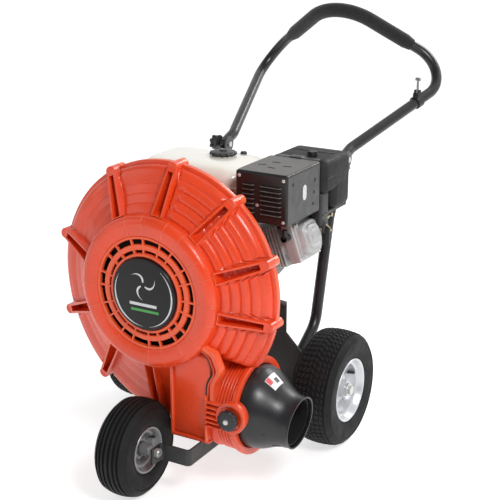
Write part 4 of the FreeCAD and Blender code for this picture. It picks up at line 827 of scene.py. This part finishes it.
def hand_knob(at, axis, radius, thickness, lobes, depth, dome=3.0):
    """A scalloped knob with a shallow domed face."""
    profile = [(0.01, 0), (radius * 0.82, 0), (radius * 0.97, 1.5), (radius, 4),
               (radius, thickness - 4), (radius * 0.95, thickness - 1.2),
               (radius * 0.86, thickness), (radius * 0.5, thickness + dome * 0.5),
               (0.01, thickness + dome)]

    def scallop(angle, r):
        return 1 - depth * (0.5 + 0.5 * math.cos(angle * lobes)) if r > radius * 0.8 else 1

    return lathe(profile, at, axis, 12 * lobes, scallop, closed=False)


piece("nozzle_handwheel", hand_knob((KNOB_X, -517, KNOB_Z), FORWARD, 28, 17, 12, 0.07, 1.0).join(
    pipe([(KNOB_X, y, KNOB_Z) for y in (-500, -518)], 5)), BLACK_PLASTIC, "nozzle_knob",
      ["nozzle_knob"])
piece("nozzle_handwheel_bolt", bolt((KNOB_X, -534.6, KNOB_Z), FORWARD, 11, 4, 7), ZINC, "nozzle_knob")


# Wheels ---------------------------------------------------------------------------------

def tread_height(x, half, outer, bead):
    """The radius of the tread's ground at x from the tyre's middle."""
    return outer - 4 - (x / (half - 14)) ** 2 * (outer - bead) * 0.085


def tyre_body(centre, half, outer, bead, groove_at, groove_depth):
    """The tyre's carcass: round shoulders and, if asked, grooves round the tread."""
    side = [(bead - 4, half - 12), (bead + 1, half - 11.5), (bead + 3.5, half - 9.5),
            (bead + 6, half - 9), (bead + 8, half - 6.5),
            (bead + (outer - bead) * 0.30, half - 3.2), (bead + (outer - bead) * 0.5, half - 1.4),
            (bead + (outer - bead) * 0.64, half - 2.2), (bead + (outer - bead) * 0.655, half - 0.6),
            (bead + (outer - bead) * 0.69, half - 0.9), (bead + (outer - bead) * 0.70, half - 2.8),
            (bead + (outer - bead) * 0.80, half - 7), (bead + (outer - bead) * 0.89, half - 14)]
    crown = []
    for x in sorted({half - 17, 0, *[s * (g + o) for g in groove_at for s in (1, -1)
                                     for o in (-3.2, -1.8, 1.8, 3.2)],
                     *np.linspace(-(half - 17), half - 17, 15)}, reverse=True):
        near = min((abs(abs(x) - g) for g in groove_at), default=99)
        lift = (4 if groove_at else 0) if near > 2.5 else 4 - groove_depth
        crown.append((tread_height(x, half, outer, bead) + lift, x))
    profile = side + crown + [(r, -x) for r, x in reversed(side)]
    return lathe(profile, centre, (1, 0, 0), 120)


def tread_block(angle, x, width, length, low, high, centre, skew=0.0):
    """A small rubber block standing on the tread."""
    middle = Vector(centre)
    rows = []
    for r, shrink in ((low, 0.0), (high - 0.8, 0.5), (high, 1.3)):
        ring = []
        for du, dv in ((-1, -1), (1, -1), (1, 1), (-1, 1)):
            u = du * (width / 2 - shrink)
            v = dv * (length / 2 - shrink)
            a = angle + (v + u * skew) / high
            ring.append(middle + Vector((x + u, r * math.cos(a), r * math.sin(a))))
        rows.append(ring)
    return grid(rows, caps=(True, True))


def turf_tyre(centre, half, outer, bead):
    form = tyre_body(centre, half, outer, bead, (), 0)
    lanes = ((0, 10), (13.5, 10), (-13.5, 10), (27, 10), (-27, 10), (39, 8), (-39, 8))
    for row, (x, width) in enumerate(lanes):
        ground = tread_height(x, half, outer, bead)
        for i in range(60):
            a = 2 * math.pi * (i + 0.5 * (row % 2)) / 60
            form.join(tread_block(a, x, width, 12.5, ground - 3, min(ground + 3.4, outer), centre,
                                  0.5 if x >= 0 else -0.5))
    for a in turns(36):
        for x in (half - 15, 15 - half):
            ground = tread_height(x, half, outer, bead)
            form.join(tread_block(a, x, 9, 11, ground - 8, ground + 0.4, centre))
    return form


def ribbed_tyre(centre, half, outer, bead):
    return tyre_body(centre, half, outer, bead, (7, 20, 31), 5)


def rim_form(centre, half, bead, dish, hub_half, side):
    """A pressed rim: rolled lips, a deep dish and a hub with bolts."""
    flip = [(bead - 3, half - 13), (bead + 1.5, half - 11), (bead + 3.2, half - 8.2),
            (bead + 1.8, half - 6.2), (bead - 2, half - 7), (bead - 5, half - 11),
            (bead - 7, half - 18), (bead - 9.5, half - 22), (bead - 16, half - 24),
            (bead - 18.5, dish + 8), (bead - 22, dish + 2), (bead * 0.62, dish),
            (bead * 0.52, dish + 3), (bead * 0.46, dish + 7), (bead * 0.36, dish + 8),
            (bead * 0.30, dish + 6), (24 * bead / 88 + 1, dish + 5), (24 * bead / 88, hub_half),
            (17, hub_half), (17, hub_half - 12)]
    back = [(17, -hub_half), (24 * bead / 88, -hub_half), (24 * bead / 88, dish - 6),
            (bead - 24, dish - 5), (bead - 21, -half + 20), (bead - 6, -half + 12),
            (bead - 2, -half + 7), (bead + 1.8, -half + 6.2), (bead + 3.2, -half + 8.2),
            (bead + 1.5, -half + 11), (bead - 3, -half + 13)]
    form = lathe([(r, side * x) for r, x in flip + back], centre, (1, 0, 0), 96)
    middle = Vector(centre)
    for i in range(5):
        a = math.radians(72 * i + 20)
        at = middle + Vector((side * (dish + 6), bead * 0.42 * math.cos(a),
                              bead * 0.42 * math.sin(a)))
        form.join(bolt(at, (side, 0, 0), bead * 0.13, 4, bead * 0.10, 0.3 * i))
    return form


def valve(centre, bead, dish, side):
    middle = Vector(centre)
    at = middle + Vector((side * dish, bead * 0.66, bead * 0.28))
    return pipe([at, at + Vector((side * 14, 2, 1)), at + Vector((side * 24, 3, 1.5))],
                [4.5, 4.2, 3.2], 14)


REAR = (312, -51, 165)
FRONT = (0, -579, 130)
rear_parts = {"tyre": (turf_tyre(REAR, 63.5, 165, 88), RUBBER),
              "rim": (rim_form(REAR, 63.5, 88, 18, 44, 1), SILVER),
              "valve": (valve(REAR, 88, 16, 1), BLACK_PLASTIC)}
for side in ("left", "right"):
    for part, (form, finish) in rear_parts.items():
        in_cad = part != "valve"
        piece("%s_%s" % (part, side), form if side == "left" else form.mirrored(), finish,
              side + "_wheel",
              ["rear_%s_%s" % (part, side)] if in_cad else [])
piece("tyre_front", ribbed_tyre(FRONT, 50, 130, 59), RUBBER, "front_wheel", ["front_tyre"])
piece("rim_front", rim_form(FRONT, 50, 59, 12, 46, 1), GREY_RIM, "front_wheel",
      ["front_rim"])
piece("valve_front", valve(FRONT, 59, 11, 1), BLACK_PLASTIC, "front_wheel")


# Fuel tank and cap ------------------------------------------------------------------------

def pillow(x, y, levels, corner):
    """A pressed shell: round outlines of changing inset, one at each level (z, inset)."""
    middle = ((x[0] + x[1]) / 2, (y[0] + y[1]) / 2)
    rows = []
    for z, inset in levels:
        width, depth = x[1] - x[0] - 2 * inset, y[1] - y[0] - 2 * inset
        radius = max(4, min(corner - inset * 0.55, min(width, depth) / 2 - 1))
        rows.append([(middle[0] + a, middle[1] + b, z)
                     for a, b in round_outline(width, depth, radius, 12)])
    return grid(rows, caps=(True, True))


CAP_AT = (16, -156)
tank_levels = [(724, 20), (725.5, 10), (730, 4), (738, 1.5), (764, 0.5), (765, -3), (768.5, -3),
               (769.5, 0.5), (786, 2), (798, 6), (807, 12.5), (813, 21), (816.5, 32),
               (818.6, 48), (819.7, 68), (820, 84)]
tank = pillow((-185, 138), (-288, -72), tank_levels, 52)
tank.join(lathe([(27, -8), (33, -8), (33, 0.6), (31, 1.6), (27, 1.6)], (*CAP_AT, 820), (0, 0, 1),
                48))
piece("tank", tank, CREAM, "chassis", ["fuel_tank"], sharp=50)
piece("tank_cap", hand_knob((*CAP_AT, 821.7), (0, 0, 1), 38, 9.5, 14, 0.09, 3).join(
    lathe([(0.01, 0), (11, 0), (11, 2.5), (9, 3.4), (0.01, 3.4)], (*CAP_AT, 833), (0, 0, 1), 32,
          closed=False)), BLACK_PLASTIC, "fuel_cap", ["fuel_cap"])
piece("tank_vent", lathe([(0.01, -6), (9, -6), (9, 2), (7.5, 4.5), (0.01, 5)], (49, -103, 819),
                         (0, 0, 1), 28, closed=False), BLACK_PLASTIC, "chassis")


# Muffler guard and air cleaner ---------------------------------------------------------------

def guard_hoods():
    """Pressed hoods over the slots in the guard's front sheet."""
    form = Form()
    for left, right in ((172, 204), (224, 282)):
        for i in range(7):
            z = 727 + 12 * i
            path = [(left - 1, -321.4, z), (left + 3, -326.5, z), (right - 3, -326.5, z),
                    (right + 1, -321.4, z)]
            form.join(ribbon(path, [(-1, -0.6), (3.4, -2.0), (4.2, -0.6), (0, 1.6), (-1, 1.6)],
                             (0, 0, 1)))
    return form


# The hoods and the lid take the lighter guard paint, a painted highlight.
piece("guard_front", guard_hoods(), GUARD_LIT, "chassis")
top_plate = slab(round_outline(143, 178, 8), 832.9, 833.8, (0, 0, 1), (225, -228.5, 0), 0.6)
piece("guard_lid", top_plate, GUARD_LIT, "chassis")
# Dark patches for the lid's slots: painted shade, no holes are cut.
slots = Form()
for x, y, turn in ((185, -243, 0.25), (222, -262, -0.2), (252, -232, 0.25), (205, -205, 0.1)):
    slots.join(block((-11, 11), (-3, 3), (0, 1.0), 0.45, 2,
                     Matrix.Translation((x, y, 833.4)) @ Matrix.Rotation(turn, 4, "Z")))
piece("guard_lid_slot_shade", slots, PAINTED_SHADE, "chassis")
GUARD_SIDE = (299.6, 300.9)
window = slab(round_outline(20, 40, 9.8), *GUARD_SIDE, (1, 0, 0), (0, -227, 771), 0.3)
piece("guard_window", window, ZINC, "chassis")
# Dark patches for the side slots: painted shade, no holes are cut.
side_slots = Form()
for y, z, w, h in ((-168, 792, 6, 10), (-172, 760, 6, 8), (-176, 730, 7, 9), (-290, 805, 6, 8)):
    side_slots.join(slab(round_outline(w, h, w / 2 - 0.2), *GUARD_SIDE, (1, 0, 0), (0, y, z), 0.3))
piece("guard_side_slot_shade", side_slots, PAINTED_SHADE, "chassis")
guard_bolts = Form()
for x, z in ((289, 820), (162, 820), (214, 748), (289, 712), (162, 712)):
    guard_bolts.join(bolt((x, -321, z), FORWARD, 6, 2.6, 4.6, 0.4))
piece("guard_screws", guard_bolts, ZINC, "chassis")
cover = block((142, 312), (-130, 30), (738, 832), 22, 5)
cover.join(block((142, 312), (-72, 30), (683, 780), 22, 5))
piece("air_cover", cover, TEXTURED, "chassis", ["air_cleaner_cover"])
seams = ribbon([(309, y, 784) for y in (-120, -60, 22)], [(-2, -2), (2, -2), (1.4, 3.4), (-1.4, 3.4)],
               (1, 0, 0))
for y in (-108, -34):
    seams.join(ribbon([(164, y, 830), (290, y, 830)], [(-2.5, -2), (2.5, -2), (2, 3), (-2, 3)],
                      (0, 0, 1)))
piece("air_cover_ribs", seams, TEXTURED, "chassis")
strap = block((206, 244), (-138, -112), (813, 837), 3, 3).join(
    block((160, 290), (-135, -112), (820, 834), 2.5, 2))
piece("air_cover_strap", strap, BLACK_PLASTIC, "chassis")


# Engine --------------------------------------------------------------------------------------

LEAN = math.radians(19.5)
HEAD_FACE = 292.0
CYLINDER = Matrix.Translation((0, -166, SHAFT[2])) @ Matrix.Rotation(-LEAN, 4, "Y")


def head_cover():
    """The pressed valve cover on the cylinder head, with stepped ridges."""
    rows = []
    steps = [(0, 51, 50, 20), (5, 51, 50, 20), (6, 50, 49, 20), (6.6, 46, 45, 22),
             (11, 45, 44, 24), (19, 44, 43, 26), (23, 42, 41, 27), (24.4, 38, 37, 26),
             (24.2, 35, 34, 24), (26, 33.5, 32.5, 23), (29.5, 32, 31, 22), (31.4, 29, 28, 20),
             (31.6, 25, 24, 18), (29.8, 23, 22, 17), (29.8, 19, 18, 14), (32, 17, 16, 12),
             (33.6, 13, 12, 10), (34, 8, 7, 5)]
    for level, half_y, half_up, corner in steps:
        outline = round_outline(2 * half_y, 2 * half_up, min(corner, half_up - 0.5), 10)
        rows.append([(HEAD_FACE + level, a, b + 3) for a, b in outline])
    form = grid(rows, caps=(True, True))
    for a, b in ((43, 44), (-43, 44), (-43, -38), (43, -38)):
        form.join(bolt((HEAD_FACE + 5, a, b), (1, 0, 0), 9, 5, 7, 0.5))
    return form.moved(CYLINDER)


piece("head_cover", head_cover(), CAST, "chassis", ["rocker_cover"], sharp=30)
plug_lead = pipe([tuple(CYLINDER @ Vector((277, y, 22))) for y in (-58, -84)], 8, 20)
piece("plug_boot", plug_lead, BLACK_PLASTIC, "chassis")
intake_parts = block((262, 302), (-132, -84), (652, 744), 8, 4)
intake_parts.join(block((268, 306), (-120, -92), (632, 668), 6, 3))
intake_parts.join(pipe([(250, -100, 640), (276, -100, 640), (300, -100, 634)], [16, 15, 12], 28))
intake_parts.join(block((276, 312), (-92, -80), (620, 632), 3, 2))
intake_parts.join(block((296, 318), (-112, -104), (600, 648), 2.5, 2))
piece("intake_elbow", intake_parts, BLACK_PLASTIC, "chassis")
linkage = block((262, 312), (-96, -90), (628, 646), 2.5, 2)
linkage.join(block((280, 300), (-126, -120), (612, 650), 2.5, 2))
linkage.join(pipe([(290, -112, 664), (308, -104, 652), (314, -92, 636)], 3, 12))
for at in ((304, -96, 640), (290, -128, 640), (284, -128, 622)):
    linkage.join(bolt(at, FORWARD, 9, 4, 6.5))
piece("intake_linkage", linkage, BRASS, "chassis")


# Handle --------------------------------------------------------------------------------------

CORNER, PEAK = Vector((345, 746, 945)), Vector((0, 549, 1174))
grip_end = PEAK + (CORNER - PEAK) * 0.62
other_end = Vector((-grip_end.x, grip_end.y, grip_end.z))
grip_path = bent([grip_end, PEAK, other_end], [152], 6)
lengths = [0.0]
for a, b in zip(grip_path, grip_path[1:]):
    lengths.append(lengths[-1] + (b - a).length)
whole = lengths[-1]
grip_radii = [22.4 - 4.4 * max(0.0, 1 - min(d, whole - d) / 7) ** 2 for d in lengths]
grip = piece("grip", pipe(grip_path, grip_radii, 40), FOAM, "handle", ["handle_grip"],
             sharp=60)


# Finish of the pieces carried over ----------------------------------------------------------

FINISHES = (
    (FRAME_PLATE, "rear_cross_plate front_upright engine_deck rail_left rail_right axle_saddles"),
    (ORANGE, "housing_rear"),
    (ZINC, "housing_bolts impeller_bolt rear_axle axle_collars frame_fasteners front_axle_bolt"),
    # The impeller is near-black as painted shade, so the grille's slots read dark.
    (PAINTED_SHADE, "impeller"),
    (CAST, "engine_adapter crankcase flywheel cylinder carburettor"),
    (STEEL, "rear_bearings_left rear_bearings_right front_bearings crankshaft speed_lever"),
    (BLACK_PLASTIC, "spark_plug_cap air_cleaner_base air_cleaner_knob recoil_grip "
                    "throttle_lever dipstick engine_switch handle_knob_left handle_knob_right "
                    "lever_bracket nozzle_knob"),
    (SOOT, "muffler"),
    (GUARD, "muffler_guard fan_housing recoil_starter"),
    (BRASS, "choke_lever fuel_lever"),
    (POWDER, "upper_handle lower_handle_left lower_handle_right"),
)
for finish, names in FINISHES:
    for name in names.split():
        node = NODES[name]
        if not node.material_slots:
            node.data.materials.append(finish)
        for material_slot in node.material_slots:
            material_slot.link = "OBJECT"
            material_slot.material = finish


# Stage, camera and light -----------------------------------------------------------------

CAMERA_AT = Vector((1.617, -2.832, 1.557))
CAMERA_AZIMUTH, CAMERA_PITCH, CAMERA_ROLL = (math.radians(a) for a in (29.54, 17.89, 0.31))
FOCAL_MM = 84.97


def add_camera():
    back = Vector((math.sin(CAMERA_AZIMUTH) * math.cos(CAMERA_PITCH),
                   -math.cos(CAMERA_AZIMUTH) * math.cos(CAMERA_PITCH), math.sin(CAMERA_PITCH)))
    level = Vector((math.cos(CAMERA_AZIMUTH), math.sin(CAMERA_AZIMUTH), 0))
    rise = back.cross(level)
    right = level * math.cos(CAMERA_ROLL) + rise * math.sin(CAMERA_ROLL)
    up = back.cross(right)
    data = bpy.data.cameras.new("camera")
    data.lens = FOCAL_MM
    data.sensor_width = 36
    data.clip_start, data.clip_end = 0.05, 50
    camera = bpy.data.objects.new("camera", data)
    turn = Matrix((right, up, back)).transposed().to_4x4()
    camera.matrix_world = Matrix.Translation(CAMERA_AT) @ turn
    bpy.context.scene.collection.objects.link(camera)
    bpy.context.scene.camera = camera


def area_light(name, at, aim, size, power, colour=(1, 1, 1)):
    data = bpy.data.lights.new(name, "AREA")
    data.shape = "RECTANGLE"
    data.size, data.size_y = size
    data.energy = power
    data.color = colour
    light = bpy.data.objects.new(name, data)
    light.location = at
    light.rotation_euler = (Vector(aim) - Vector(at)).to_track_quat("-Z", "Y").to_euler()
    bpy.context.scene.collection.objects.link(light)


def add_stage():
    """A white floor that takes shadows."""
    mesh = bpy.data.meshes.new("floor")
    size = 30
    mesh.from_pydata([(-size, -size, 0), (size, -size, 0), (size, size, 0), (-size, size, 0)], [],
                     [(0, 1, 2, 3)])
    floor = bpy.data.objects.new("floor", mesh)
    floor.location.z = -0.0005
    bpy.context.scene.collection.objects.link(floor)
    paper = shader("floor_paper", (0.6, 0.6, 0.6), 0.9, blotch=(2, 0.01), rounding=0)
    paper.node_tree.nodes["Principled BSDF"].inputs["Emission Color"].default_value = (1, 1, 1, 1)
    paper.node_tree.nodes["Principled BSDF"].inputs["Emission Strength"].default_value = 0.66
    mesh.materials.append(paper)


def add_world():
    """White light all round, weaker from the front."""
    world = bpy.data.worlds.new("studio")
    world.use_nodes = True
    tree = world.node_tree
    background = tree.nodes["Background"]
    background.inputs["Color"].default_value = (1, 1, 1, 1)
    where = tree.nodes.new("ShaderNodeTexCoord")
    parts = tree.nodes.new("ShaderNodeSeparateXYZ")
    level = tree.nodes.new("ShaderNodeMapRange")
    tree.links.new(where.outputs["Generated"], parts.inputs["Vector"])
    tree.links.new(parts.outputs["Y"], level.inputs["Value"])
    for key, number in (("From Min", -0.1), ("From Max", 0.4), ("To Min", 0.28), ("To Max", 1.0)):
        level.inputs[key].default_value = number
    tree.links.new(level.outputs["Result"], background.inputs["Strength"])
    bpy.context.scene.world = world
    bpy.context.scene.view_settings.view_transform = "Standard"


def add_lights():
    middle = (0, -0.1, 0.5)
    area_light("key", (2.6, -1.9, 3.2), middle, (1.1, 1.1), 95)
    area_light("fill", (-2.8, -2.4, 1.8), middle, (2.0, 2.0), 14)
    area_light("rim", (0.8, 2.8, 2.6), middle, (1.6, 1.0), 40)


add_camera()
add_stage()
add_world()
add_lights()
